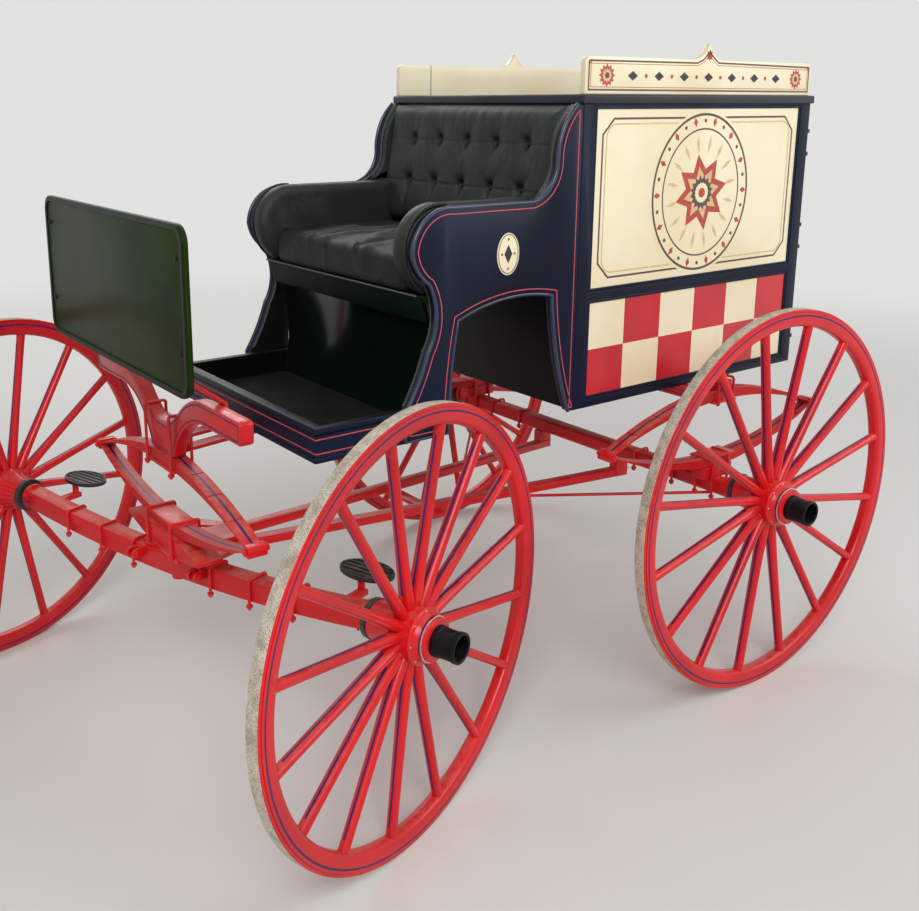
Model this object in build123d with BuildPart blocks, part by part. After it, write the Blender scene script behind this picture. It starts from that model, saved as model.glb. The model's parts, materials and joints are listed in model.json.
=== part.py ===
# Horse-drawn delivery wagon: box body with a cut-under, full-elliptic springs and spoked wheels.
# Millimetres. +X is forward, +Y is the wagon's left, Z = 0 is the ground under the wheels.
import os
from math import asin, atan2, cos, degrees, radians, sin

from build123d import *

os.makedirs("parts", exist_ok=True)

# Wheels and steering
track = 1500.0
wheelbase = 1457.0
front_wheel_radius = 511.0
rear_wheel_radius = 547.5
steer_rest = 18.4
tyre_width = 32.0
tyre_thickness = 9.0
felloe_depth = 40.0
felloe_width = 36.0
felloe_chamfer = 8.0
spoke_count = 16
spoke_root = 32.0
spoke_tip = 25.0
spoke_joint = 12.0
dish = 14.0
hub_radius = 62.0
hub_inner_radius = 46.0
hub_outer_radius = 47.0
hub_inner_length = 118.0
hub_outer_length = 60.0
hub_swell_length = 26.0
hub_neck_gain = 4.0
hub_shoulder_length = 16.0
hub_shoulder_gain = 3.0
cap_radius = 35.0
cap_length = 62.0
cap_wall = 7.0
cap_floor = 18.0
spindle_radius = 17.5
spindle_clearance = 0.5
collar_radius = 36.0
collar_length = 14.0
collar_gap = 6.0

# Axles: depths of the beds, and heights of the front bed's top over the middle of the wheel
bed_width = 50.0
rear_bed_depth = 46.0
rear_bed_drop = 8.0
front_bed_end_depth = 52.0
front_bed_middle_depth = 55.5
front_bed_rise = -12.5
front_bed_end_rise = 26.0
bed_edge = 8.0

# Springs: full ellipses of leaves that shorten towards the clamped middle
leaf_thickness = 7.0
leaf_count = 4
leaf_width = 44.0
leaf_shortening = 0.22
eye_radius = 12.0
rear_spring_y = 540.0
rear_spring_span = 452.0
rear_spring_height = 227.0
rear_seat_height = 37.5
rear_seat_length = 120.0
rear_seat_width = 50.0
front_spring_span = 458.0
front_spring_height = 205.0
front_spring_lead = 12.0

# Fifth wheel behind the axle and the pieces stacked on it
ring_outer_radius = 100.0
ring_inner_radius = 76.0
ring_thickness = 12.0
ring_gap = 1.0
ring_seat = 1.5
perch_plate_length = 74.0
perch_plate_half_width = 52.0
bolster_length = 440.0
bolster_width = 70.0
bolster_height = 49.0
bolster_taper = 24.0
kingpin_radius = 12.0
kingpin_clearance = 0.5
kingpin_head_radius = 20.0
kingpin_head_height = 10.0
kingpin_head_gap = 2.0
steer_gap = 5.0

# Front spring bar: distances from its middle and heights over its underside
bar_width = 36.0
bar_block_half = 68.0
bar_neck_inner = (120.0, 78.0)
bar_arm_inner_y = 240.0
bar_arm_lift = 130.0
bar_arm_depth = 57.0
bar_arm_outer_y = 236.0
bar_shoulder = (166.0, 170.0)
bar_neck_outer = (118.0, 140.0)
bar_dip = (74.0, 107.0)
bar_block_height = 84.0
bar_dip_half = 30.0
bar_half_span = 436.0
bar_round = 12.0

# Box body
body_half_width = 417.0
box_front_offset = 464.0
box_length = 990.0
box_bottom_z = 811.0
box_height = 824.0
wall = 22.0
panel_recess = 6.0
stile_width = 46.0
bottom_rail = 24.0
top_rail = 6.0
middle_rail = 25.0
check_height = 277.0
floor_thickness = 18.0
bulkhead_thickness = 20.0
roof_thickness = 24.0
roof_overhang = 8.0
roof_round = 6.0
board_thickness = 18.0
board_height = 96.0
board_inset = 13.0
board_corner = 16.0
peak_height = 46.0
peak_half_width = 66.0

# Seat end panels with the wheel arch: offsets ahead of the rear axle, some with a height above the ground
panel_thickness = 28.0
wing_top_x = 483.0
wing_hollow = (526.0, 1580.0)
wing_waist = (547.0, 1500.0)
elbow_hollow = (571.0, 1425.0)
elbow_x = 630.0
arm_z = 1391.0
arm_front_x = 885.0
scroll_shoulder = (980.0, 1358.0)
scroll_nose = (1010.0, 1290.0)
scroll_underside = (997.0, 1250.0)
scroll_foot = (960.0, 1211.0)
pillar_waist = (937.0, 1130.0)
pillar_knee = (962.0, 1042.0)
pillar_sweep = (990.0, 970.0)
pillar_foot_front_x = 1030.0
pillar_foot_rear_x = 897.0
pillar_back = (891.0, 980.0)
arch_front = (870.0, 1113.0)
arch_crown = (707.0, 1153.0)
arch_rear = (553.0, 1143.0)
arch_back = (531.0, 985.0)
arch_foot_x = 478.0

# Footwell and seat
toe_x = 1265.0
floor_rear_x = 897.0
floor_clearance = 2.0
sill_height = 87.0
sill_wall = 26.0
bead_height = 16.0
bead_proud = 6.0
riser_thickness = 14.0
riser_inset = 5.0
riser_waist_x = 911.0
riser_foot_x = 932.0
seat_board_bottom_z = 1160.0
seat_board_thickness = 18.0
seat_board_front_x = 952.0
seat_board_round = 6.0
soft_gap = 1.5
cushion_height = 100.0
cushion_round = 25.0
cushion_front_x = 972.0
arm_pad_thickness = 64.0
back_bottom_depth = 104.0
back_top_depth = 42.0
pad_swell = 5.0
pad_proud = 8.0

# Dash
dash_x = 1590.0
dash_width = 877.0
dash_bottom_z = 1030.0
dash_height = 370.0
dash_thickness = 10.0
dash_corner = 42.0
dash_iron_y = 280.0
dash_iron_width = 26.0
dash_iron_thickness = 9.0

# Doors
door_thickness = 20.0
door_gap = 5.0
door_recess = 6.0
door_stile = 60.0
barrel_radius = 7.0
barrel_bore = 3.5
pin_radius = 3.0
barrel_height = 56.0
hinge_leaf = 3.0
hinge_shares = (0.14, 0.5, 0.86)
hinge_gap = 1.0
lug_height = 12.0
latch_y = 45.0
latch_radius = 6.0
latch_depth = 12.0
latch_length = 90.0

# Reaches, stays and bars under the body
seat_gap = 0.3
reach_width = 34.0
reach_depth = 24.0
reach_overrun = 20.0
reach_block_height = 39.0
brace_foot_width = 60.0
brace_tail_width = 26.0
brace_thickness = 8.0
brace_foot_y = 168.0
brace_tail_x = 1240.0
brace_tail_rise = 5.0
cross_width = 36.0
cross_thickness = 12.0
stay_x = 400.0
stay_y = 545.0
stay_seat = 3.0
reach_front_y = 34.0
reach_rear_y = 179.0
reach_cross_x = 700.0
stay_radius = 4.5
rear_bar_width = 46.0
rear_bar_depth = 32.0
rear_bar_end = 10.0
body_iron_width = 40.0
body_iron_thickness = 10.0
body_iron_y = 46.0

# Shaft couplings and step plates on the front axle
coupling_y = 115.0
coupling_bore = 6.0
coupling_reach = 30.0
coupling_wall = 8.0
coupling_lug = 8.0
coupling_slot = 16.0
coupling_radius = 12.0
step_y = 528.0
step_back = 118.0
step_top_z = 552.0
step_half_length = 75.0
step_half_width = 48.0
step_thickness = 8.0
step_stem_y = 535.0
step_stem_back = 86.0
step_arm_z = 508.0
step_stem_radius = 9.0
step_arm_width = 24.0
step_arm_depth = 14.0

# Places that follow from the sizes above
turn = radians(steer_rest)
front_reach = wheelbase + (track + tyre_width) / 2 * sin(turn) + front_wheel_radius * cos(turn)
rear_axle_x = -(front_reach - rear_wheel_radius) / 2
king_x = rear_axle_x + wheelbase
forward = Vector(cos(turn), sin(turn), 0)
lateral = Vector(-sin(turn), cos(turn), 0)
up = Vector(0, 0, 1)
box_front_x = rear_axle_x + box_front_offset
box_rear_x = box_front_x - box_length
box_top_z = box_bottom_z + box_height
bed_half_length = track / 2 - hub_inner_length - collar_length - collar_gap
rear_bed_top_z = rear_wheel_radius - rear_bed_drop + rear_bed_depth / 2
rear_bed_bottom_z = rear_bed_top_z - rear_bed_depth
rear_spring_z = rear_bed_top_z + rear_seat_height
front_bed_top_z = front_wheel_radius + front_bed_rise
kingpin_bottom_z = front_bed_top_z - front_bed_middle_depth - kingpin_head_height - kingpin_head_gap
lower_ring_z = front_bed_top_z + ring_seat
upper_ring_z = lower_ring_z + ring_thickness + ring_gap
bolster_z = upper_ring_z + ring_thickness
front_spring_z = bolster_z + bolster_height
front_spring_x = king_x + front_spring_lead
front_bar_z = front_spring_z + front_spring_height
arm_bottom_z = front_bar_z + bar_arm_lift
arm_top_z = arm_bottom_z + bar_arm_depth
sill_top_z = box_bottom_z + sill_height
seat_top_z = seat_board_bottom_z + seat_board_thickness
floor_half_width = body_half_width - panel_thickness - floor_clearance
cushion_half_width = body_half_width - panel_thickness - arm_pad_thickness - 2 * soft_gap
sides = (("left", 1), ("right", -1))


def save(builder, name):
    """Label a finished piece and write it under its own name."""
    builder.part.label = name
    export_step(builder.part, f"parts/{name}.step")


# Wheels: name, radius, middle of the hub, outward direction of the axle and its forward direction
straight = (Vector(1, 0, 0), Vector(0, 1, 0))
wheel_table = (
    ("front_left", front_wheel_radius, king_x, forward, lateral, 1),
    ("front_right", front_wheel_radius, king_x, forward, lateral, -1),
    ("rear_left", rear_wheel_radius, rear_axle_x, straight[0], straight[1], 1),
    ("rear_right", rear_wheel_radius, rear_axle_x, straight[0], straight[1], -1),
)
bore_radius = spindle_radius + spindle_clearance
spindle_half_length = track / 2 + hub_outer_length
hub_stations = (
    # distance outward along the axle, radius
    (-hub_inner_length, hub_inner_radius),
    (-hub_swell_length * 2, hub_inner_radius + hub_neck_gain),
    (-hub_swell_length, hub_radius),
    (hub_swell_length, hub_radius),
    (hub_swell_length + hub_shoulder_length, hub_outer_radius + hub_shoulder_gain),
    (hub_outer_length, hub_outer_radius),
)
for name, radius, axle_x, ahead, leftward, side in wheel_table:
    outward = leftward * side
    middle = Vector(axle_x, 0, radius) + outward * (track / 2)
    section_plane = Plane(origin=middle, x_dir=ahead, z_dir=ahead.cross(outward))
    spin_axis = Axis(middle, outward)
    felloe_outer = radius - tyre_thickness
    felloe_inner = felloe_outer - felloe_depth
    spoke_length = felloe_inner + spoke_joint - hub_inner_radius
    spoke_tilt = degrees(atan2(dish, spoke_length))
    spoke_ring = Plane(origin=middle - outward * dish, x_dir=ahead, z_dir=outward)

    with BuildPart(spoke_ring) as wheel:
        with BuildSketch(section_plane):
            with Locations((felloe_outer - felloe_depth / 2, 0)):
                felloe = Rectangle(felloe_depth, felloe_width)
            chamfer(felloe.vertices().sort_by(Axis(middle, ahead))[:2], felloe_chamfer)
        revolve(axis=spin_axis)
        with BuildSketch(section_plane):
            with BuildLine():
                Polyline(
                    [(bore_radius, -hub_inner_length)]
                    + [(reach, along) for along, reach in hub_stations]
                    + [(bore_radius, hub_outer_length)],
                    close=True,
                )
            make_face()
        revolve(axis=spin_axis)
        with PolarLocations(hub_inner_radius, spoke_count, start_angle=180 / spoke_count):
            Cone(
                spoke_root / 2,
                spoke_tip / 2,
                spoke_length,
                rotation=(0, 90 - spoke_tilt, 0),
                align=(Align.CENTER, Align.CENTER, Align.MIN),
            )
    save(wheel, f"wheel_{name}")

    with BuildPart() as tyre:
        with BuildSketch(section_plane):
            with Locations((radius - tyre_thickness / 2, 0)):
                Rectangle(tyre_thickness, tyre_width)
        revolve(axis=spin_axis)
    save(tyre, f"tyre_{name}")

    with BuildPart() as hub_cap:
        with BuildSketch(section_plane):
            with BuildLine():
                Polyline(
                    (0, hub_outer_length),
                    (cap_radius, hub_outer_length),
                    (cap_radius, hub_outer_length + cap_length),
                    (cap_radius - cap_wall, hub_outer_length + cap_length),
                    (cap_radius - cap_wall, hub_outer_length + cap_floor),
                    (0, hub_outer_length + cap_floor),
                    close=True,
                )
            make_face()
        revolve(axis=spin_axis)
    save(hub_cap, f"hub_cap_{name}")

# Rear axle: a straight wooden bed with spring seats, and an iron collar and spindle at each end
with BuildPart() as rear_axle:
    with BuildSketch(Plane.YZ.offset(rear_axle_x - bed_width / 2)):
        with Locations((0, rear_bed_top_z - rear_bed_depth / 2)):
            Rectangle(2 * bed_half_length, rear_bed_depth)
    extrude(amount=bed_width)
    chamfer(rear_axle.edges().filter_by(Axis.Y), bed_edge)
    with BuildSketch(Plane.XY.offset(rear_bed_top_z)):
        with Locations((rear_axle_x, rear_spring_y), (rear_axle_x, -rear_spring_y)):
            Rectangle(rear_seat_length, rear_seat_width)
    extrude(amount=rear_seat_height)
    for _, side in sides:
        bed_end = Plane((rear_axle_x, side * bed_half_length, rear_wheel_radius), z_dir=(0, side, 0))
        with BuildSketch(bed_end):
            Circle(collar_radius)
        extrude(amount=collar_length)
        with BuildSketch(bed_end):
            Circle(spindle_radius)
        extrude(amount=spindle_half_length - bed_half_length)
save(rear_axle, "rear_axle")

# Front axle: the bed is bellied downwards in the middle and turned about the kingpin
axle_section = Plane(origin=(king_x, 0, front_wheel_radius), x_dir=lateral, z_dir=forward)
gear_plane = Plane(origin=(king_x, 0, 0), x_dir=forward, z_dir=(0, 0, 1))
bed_end_top = front_bed_end_rise
bed_end_bottom = front_bed_end_rise - front_bed_end_depth
with BuildPart() as front_axle:
    with BuildSketch(axle_section):
        with BuildLine():
            ThreePointArc(
                (-bed_half_length, bed_end_bottom),
                (0, front_bed_rise - front_bed_middle_depth),
                (bed_half_length, bed_end_bottom),
            )
            Line((bed_half_length, bed_end_bottom), (bed_half_length, bed_end_top))
            top_ends = ((bed_half_length, bed_end_top), (-bed_half_length, bed_end_top))
            ThreePointArc(top_ends[0], (0, front_bed_rise), top_ends[1])
            Line(top_ends[1], (-bed_half_length, bed_end_bottom))
        make_face()
    extrude(amount=bed_width / 2, both=True)
    for _, side in sides:
        bed_end = Plane(axle_section.origin + lateral * (side * bed_half_length), z_dir=lateral * side)
        with BuildSketch(bed_end):
            Circle(collar_radius)
        extrude(amount=collar_length)
        with BuildSketch(bed_end):
            Circle(spindle_radius)
        extrude(amount=spindle_half_length - bed_half_length)
    with BuildSketch(gear_plane):
        Circle(kingpin_radius + kingpin_clearance)
    extrude(amount=box_bottom_z, mode=Mode.SUBTRACT)
save(front_axle, "front_axle")

# Fifth wheel: two flat half rings behind the axle, the lower one on a cross iron over the bed
with BuildPart() as fifth_wheel_lower:
    with BuildSketch(gear_plane.offset(lower_ring_z)):
        Circle(ring_outer_radius)
        Circle(ring_inner_radius, mode=Mode.SUBTRACT)
        Rectangle(
            ring_outer_radius, 2 * ring_outer_radius, align=(Align.MIN, Align.CENTER), mode=Mode.SUBTRACT
        )
        Rectangle(bed_width, 2 * ring_outer_radius)
        Circle(kingpin_radius + kingpin_clearance, mode=Mode.SUBTRACT)
    extrude(amount=ring_thickness)
save(fifth_wheel_lower, "fifth_wheel_lower")

perch_plate_x = king_x - ring_outer_radius + ring_thickness
with BuildPart() as fifth_wheel_upper:
    with BuildSketch(Plane((king_x, 0, upper_ring_z))):
        Circle(ring_outer_radius)
        Circle(ring_inner_radius, mode=Mode.SUBTRACT)
        Rectangle(
            ring_outer_radius, 2 * ring_outer_radius, align=(Align.MIN, Align.CENTER), mode=Mode.SUBTRACT
        )
        with Locations((front_spring_lead, 0)):
            Rectangle(bolster_width, 2 * ring_outer_radius)
        with Locations((perch_plate_x - king_x, 0)):
            Rectangle(perch_plate_length, 2 * perch_plate_half_width, align=(Align.MAX, Align.CENTER))
        Circle(kingpin_radius, mode=Mode.SUBTRACT)
    extrude(amount=ring_thickness)
save(fifth_wheel_upper, "fifth_wheel_upper")

with BuildPart() as bolster:
    with BuildSketch(Plane.YZ.offset(front_spring_x)):
        with BuildLine():
            Polyline(
                (0, bolster_z),
                (ring_outer_radius, bolster_z),
                (bolster_length / 2, bolster_z + bolster_taper),
                (bolster_length / 2, front_spring_z),
                (0, front_spring_z),
                close=True,
            )
        make_face()
        mirror(about=Plane.YZ)
    extrude(amount=bolster_width / 2, both=True)
    with BuildSketch(Plane((king_x, 0, bolster_z))):
        Circle(kingpin_radius)
    extrude(amount=bolster_height, mode=Mode.SUBTRACT)
save(bolster, "bolster")

with BuildPart() as kingpin:
    with BuildSketch(Plane((king_x, 0, kingpin_bottom_z))):
        Circle(kingpin_head_radius)
    extrude(amount=kingpin_head_height)
    with BuildSketch(Plane((king_x, 0, kingpin_bottom_z))):
        Circle(kingpin_radius)
    extrude(amount=front_spring_z - kingpin_bottom_z)
save(kingpin, "kingpin")


# Springs: name, section plane through the middle of the ellipse, half span, height
front_seat = Vector(front_spring_x, 0, front_spring_z)
rear_seat = Vector(rear_axle_x, 0, rear_spring_z)
rear_side = Vector(0, rear_spring_y, 0)
spring_table = (
    ("front_spring", Plane.YZ, front_seat, front_spring_span, front_spring_height),
    ("rear_spring_left", Plane.XZ, rear_seat + rear_side, rear_spring_span, rear_spring_height),
    ("rear_spring_right", Plane.XZ, rear_seat - rear_side, rear_spring_span, rear_spring_height),
)
for name, lie, seat, span, height in spring_table:
    middle_plane = Plane(origin=seat + up * (height / 2), x_dir=lie.x_dir, z_dir=lie.z_dir)
    rise = height / 2 - leaf_count * leaf_thickness
    inner_radius = (span**2 + rise**2) / (2 * rise)
    arc_middle = rise - inner_radius
    with BuildPart() as spring:
        with BuildSketch(middle_plane):
            with Locations((-span, 0), (span, 0)):
                Circle(eye_radius)
            for leaf in range(leaf_count):
                near = inner_radius + leaf * leaf_thickness
                half = degrees(asin(span * (1 - leaf * leaf_shortening) / inner_radius))
                for direction in (1, -1):
                    bend = (0, direction * arc_middle)
                    first = direction * 90 - half
                    with BuildLine():
                        low = CenterArc(bend, near, first, 2 * half)
                        high = CenterArc(bend, near + leaf_thickness, first, 2 * half)
                        Line(low @ 0, high @ 0)
                        Line(low @ 1, high @ 1)
                    make_face()
        extrude(amount=leaf_width / 2, both=True)
    save(spring, name)

# Front spring bar: a clamped block with a swan-necked arm raised each side of it
bar_face = Plane((front_spring_x, 0, front_bar_z), x_dir=(0, 1, 0), z_dir=(1, 0, 0))
with BuildPart() as front_bar:
    with BuildSketch(bar_face) as bar_section:
        with BuildLine():
            Line((0, 0), (bar_block_half, 0))
            ThreePointArc((bar_block_half, 0), bar_neck_inner, (bar_arm_inner_y, bar_arm_lift))
            Polyline(
                (bar_arm_inner_y, bar_arm_lift),
                (bar_half_span, bar_arm_lift),
                (bar_half_span, bar_arm_lift + bar_arm_depth),
                (bar_arm_outer_y, bar_arm_lift + bar_arm_depth),
            )
            ThreePointArc((bar_arm_outer_y, bar_arm_lift + bar_arm_depth), bar_shoulder, bar_neck_outer)
            ThreePointArc(bar_neck_outer, bar_dip, (bar_dip_half, bar_block_height))
            Polyline((bar_dip_half, bar_block_height), (0, bar_block_height), (0, 0))
        make_face()
        mirror(about=Plane.YZ)
        by_span = bar_section.vertices().group_by(Axis.X)
        fillet(by_span[0] + by_span[-1], bar_round)
    extrude(amount=bar_width / 2, both=True)
save(front_bar, "front_bar")

# Reaches: two wooden poles that spread backwards from the fifth wheel to blocks under the rear axle
reach_tail_x = rear_axle_x - bed_width / 2
reach_head_x = king_x - ring_outer_radius - steer_gap
reach_tail_z = rear_bed_bottom_z - reach_block_height - reach_depth / 2
reach_head_z = upper_ring_z - seat_gap - reach_depth / 2
reach_slope = (reach_head_z - reach_tail_z) / (reach_head_x - reach_tail_x)
reach_spread = (reach_rear_y - reach_front_y) / (reach_head_x - reach_tail_x)


def reach_point(x, side):
    """Middle of a reach where it passes a given X."""
    along = x - reach_tail_x
    return Vector(x, side * (reach_rear_y - reach_spread * along), reach_tail_z + reach_slope * along)


# Each reach has a brace that runs forward from its side to the tapered underside of the bolster
taper_slope = bolster_taper / (bolster_length / 2 - ring_outer_radius)
taper_angle = degrees(atan2(taper_slope, 1))
brace_seat_z = bolster_z + taper_slope * (brace_foot_y - ring_outer_radius)
for name, side in sides:
    run = Vector(1, -side * reach_spread, reach_slope)
    brace_seat = Vector(front_spring_x, side * brace_foot_y, brace_seat_z)
    brace_foot = brace_seat + Vector(0, side * taper_slope, -1).normalized() * (brace_thickness / 2)
    brace_tail = reach_point(rear_axle_x + brace_tail_x, side) + up * brace_tail_rise
    block_top = Vector(rear_axle_x, side * reach_rear_y, rear_bed_bottom_z - seat_gap)
    tail = reach_point(reach_tail_x - reach_overrun, side)
    with BuildPart() as reach:
        with BuildSketch(Plane(origin=tail, x_dir=up.cross(run), z_dir=run)):
            Rectangle(reach_width, reach_depth)
        extrude(amount=run.length * (reach_head_x - reach_tail_x + 2 * reach_overrun))
        split(bisect_by=Plane.YZ.offset(reach_head_x), keep=Keep.BOTTOM)
        split(bisect_by=Plane.YZ.offset(reach_tail_x), keep=Keep.TOP)
        with BuildSketch(Plane(origin=block_top, x_dir=(1, 0, 0), z_dir=(0, 0, -1))):
            Rectangle(bed_width, reach_width)
        extrude(amount=reach_block_height + reach_depth / 2)
        brace_ends = ((brace_tail, brace_tail_width, 0), (brace_foot, brace_foot_width, side * taper_angle))
        for place, width, roll in brace_ends:
            with BuildSketch(Plane(origin=place, x_dir=(0, 1, 0), z_dir=(1, 0, 0))):
                Rectangle(width, brace_thickness, rotation=roll)
        loft()
    save(reach, f"reach_{name}")


# A cross iron ties the reaches together under their middle
cross_middle = reach_point(rear_axle_x + reach_cross_x, 1)
cross_normal = Vector(-reach_slope, 0, 1)
with BuildPart() as reach_cross:
    cross_origin = Vector(cross_middle.X, 0, cross_middle.Z) - cross_normal * (reach_depth / 2 + seat_gap)
    with BuildSketch(Plane(origin=cross_origin, x_dir=(0, 1, 0), z_dir=-cross_normal)):
        Rectangle(2 * cross_middle.Y + 2 * reach_width, cross_width)
    extrude(amount=cross_thickness)
save(reach_cross, "reach_cross")

# Stay rods run from the underside of the rear axle's outer ends to the undersides of the reaches
with BuildPart() as stay_rods:
    for _, side in sides:
        start = Vector(rear_axle_x, side * stay_y, rear_bed_bottom_z - stay_radius - stay_seat)
        meet = reach_point(rear_axle_x + stay_x, side)
        end = meet - Vector(0, 0, reach_depth / 2 + stay_radius + stay_seat)
        with BuildSketch(Plane(origin=start, z_dir=end - start)):
            Circle(stay_radius)
        extrude(amount=(end - start).length)
save(stay_rods, "stay_rods")

# Rear bar: passes under the box and steps up over the rear springs beside it
rear_spring_top_z = rear_spring_z + rear_spring_height
rear_bar_half = rear_spring_y + leaf_width / 2 + rear_bar_end
with BuildPart() as rear_bar:
    with BuildSketch(Plane.YZ.offset(rear_axle_x)):
        with BuildLine():
            Polyline(
                (0, box_bottom_z - rear_bar_depth),
                (body_half_width + 2 * rear_bar_depth, box_bottom_z - rear_bar_depth),
                (rear_spring_y - leaf_width / 2, rear_spring_top_z),
                (rear_bar_half, rear_spring_top_z),
                (rear_bar_half, rear_spring_top_z + rear_bar_depth),
                (rear_spring_y - leaf_width, rear_spring_top_z + rear_bar_depth),
                (body_half_width + rear_bar_depth, box_bottom_z),
                (0, box_bottom_z),
                close=True,
            )
        make_face()
        mirror(about=Plane.YZ)
    extrude(amount=rear_bar_width / 2, both=True)
save(rear_bar, "rear_bar")

# Body irons: flat irons under the footwell, turned up against the back of the spring bar
bar_back_x = front_spring_x - bar_width / 2
iron_bottom_z = box_bottom_z - body_iron_thickness
iron_foot_z = front_bar_z + body_iron_thickness
with BuildPart() as body_irons:
    for _, side in sides:
        with BuildSketch(Plane.XZ.offset(-side * body_iron_y)):
            with BuildLine():
                Polyline(
                    (rear_axle_x + floor_rear_x + body_iron_width, iron_bottom_z),
                    (rear_axle_x + toe_x + 2 * bead_proud, iron_bottom_z),
                    (bar_back_x, iron_foot_z),
                    (bar_back_x, front_bar_z + bar_block_height),
                    (bar_back_x - body_iron_thickness, front_bar_z + bar_block_height),
                    (bar_back_x - body_iron_thickness, iron_foot_z + body_iron_thickness),
                    (rear_axle_x + toe_x + bead_proud, box_bottom_z),
                    (rear_axle_x + floor_rear_x + body_iron_width, box_bottom_z),
                    close=True,
                )
            make_face()
        extrude(amount=body_iron_width / 2, both=True)
save(body_irons, "body_irons")

# Dash: a thin upright panel on two irons from the front of the spring bar
dash_back_x = rear_axle_x + dash_x
with BuildPart() as dash:
    with BuildSketch(Plane.YZ.offset(dash_back_x)):
        with Locations((0, dash_bottom_z + dash_height / 2)):
            panel = Rectangle(dash_width, dash_height)
        fillet(panel.vertices().group_by(Axis.Z)[-1], dash_corner)
    extrude(amount=dash_thickness)
save(dash, "dash")

with BuildPart() as dash_irons:
    for _, side in sides:
        with BuildSketch(Plane.XZ.offset(-side * dash_iron_y)):
            with BuildLine():
                Polyline(
                    (bar_back_x, arm_bottom_z),
                    (bar_back_x, arm_top_z),
                    (dash_back_x, dash_bottom_z + dash_corner - dash_iron_thickness / 2),
                    (dash_back_x, dash_bottom_z + dash_height - dash_corner),
                    (dash_back_x - dash_iron_thickness, dash_bottom_z + dash_height - dash_corner),
                    (dash_back_x - dash_iron_thickness, dash_bottom_z + dash_corner),
                    (bar_back_x - dash_iron_thickness, arm_top_z + dash_iron_thickness / 2),
                    (bar_back_x - dash_iron_thickness, arm_bottom_z),
                    close=True,
                )
            make_face()
        extrude(amount=dash_iron_width / 2, both=True)
save(dash_irons, "dash_irons")

# Footwell: a shallow tray with a bead round the bottom and top of its sill
with BuildPart() as floor_pan:
    layers = (
        # height of the layer's underside, its depth, how far it stands proud
        (0, bead_height, bead_proud),
        (bead_height, sill_height - 2 * bead_height, 0),
        (sill_height - bead_height, bead_height, bead_proud),
    )
    for lift, depth, proud in layers:
        with BuildSketch(Plane.XY.offset(box_bottom_z + lift)):
            with Locations((rear_axle_x + (toe_x + proud + floor_rear_x) / 2, 0)):
                Rectangle(toe_x + proud - floor_rear_x, 2 * (floor_half_width - bead_proud + proud))
        extrude(amount=depth)
    with BuildSketch(Plane.XY.offset(box_bottom_z + floor_thickness)):
        with Locations((rear_axle_x + (toe_x - sill_wall + floor_rear_x) / 2, 0)):
            Rectangle(toe_x - sill_wall - floor_rear_x, 2 * (floor_half_width - sill_wall))
    extrude(amount=sill_height, mode=Mode.SUBTRACT)
save(floor_pan, "floor_pan")

# Seat riser: the curved board between footwell and wheel arch
with BuildPart() as seat_riser:
    with BuildSketch(Plane.XZ):
        with BuildLine():
            arcs = []
            for back in (0, riser_thickness):
                arcs.append(
                    ThreePointArc(
                        (rear_axle_x + seat_board_front_x - riser_inset - back, seat_board_bottom_z),
                        (rear_axle_x + riser_waist_x - back, (seat_board_bottom_z + box_bottom_z) / 2),
                        (rear_axle_x + riser_foot_x - back, box_bottom_z + floor_thickness),
                    )
                )
            Line(arcs[0] @ 0, arcs[1] @ 0)
            Line(arcs[0] @ 1, arcs[1] @ 1)
        make_face()
    extrude(amount=floor_half_width - sill_wall, both=True)
save(seat_riser, "seat_riser")

with BuildPart() as seat_board:
    with BuildSketch(Plane.XY.offset(seat_board_bottom_z)):
        with Locations(((box_front_x + rear_axle_x + seat_board_front_x) / 2, 0)):
            Rectangle(rear_axle_x + seat_board_front_x - box_front_x, 2 * floor_half_width)
    extrude(amount=seat_board_thickness)
    fillet(seat_board.edges().filter_by(Axis.Y).group_by(Axis.X)[-1], seat_board_round)
save(seat_board, "seat_board")


def panel_point(place, swell=(0, 0)):
    """A point of the seat end outline, from its offset ahead of the rear axle and its height."""
    return (rear_axle_x + place[0] + swell[0], place[1] + swell[1])


# Seat end panels: scrolled front edge above, pillar and wheel arch below
pillar_foot_z = box_bottom_z + bead_height
front_edge = (
    # start, middle and end of each arc down the front edge
    ((wing_top_x, box_top_z), wing_hollow, wing_waist),
    (wing_waist, elbow_hollow, (elbow_x, arm_z)),
    ((arm_front_x, arm_z), scroll_shoulder, scroll_nose),
    (scroll_nose, scroll_underside, scroll_foot),
    (scroll_foot, pillar_waist, pillar_knee),
    (pillar_knee, pillar_sweep, (pillar_foot_front_x, sill_top_z)),
)
arch_edge = (
    # start, middle and end of each arc round the wheel arch
    ((pillar_foot_rear_x, pillar_foot_z), pillar_back, arch_front),
    (arch_front, arch_crown, arch_rear),
    (arch_rear, arch_back, (arch_foot_x, box_bottom_z)),
)
for name, side in sides:
    with BuildPart() as side_panel:
        with BuildSketch(Plane.XZ.offset(-side * body_half_width)):
            with BuildLine():
                Polyline(
                    panel_point((arch_foot_x, box_bottom_z)),
                    (box_front_x, box_bottom_z),
                    (box_front_x, box_top_z),
                    panel_point((wing_top_x, box_top_z)),
                )
                Line(panel_point((elbow_x, arm_z)), panel_point((arm_front_x, arm_z)))
                Polyline(
                    panel_point((pillar_foot_front_x, sill_top_z)),
                    panel_point((pillar_foot_front_x, pillar_foot_z)),
                    panel_point((pillar_foot_rear_x, pillar_foot_z)),
                )
                for start, middle, end in front_edge + arch_edge:
                    ThreePointArc(panel_point(start), panel_point(middle), panel_point(end))
            make_face()
        extrude(amount=side * panel_thickness)
    save(side_panel, f"side_panel_{name}")

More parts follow.
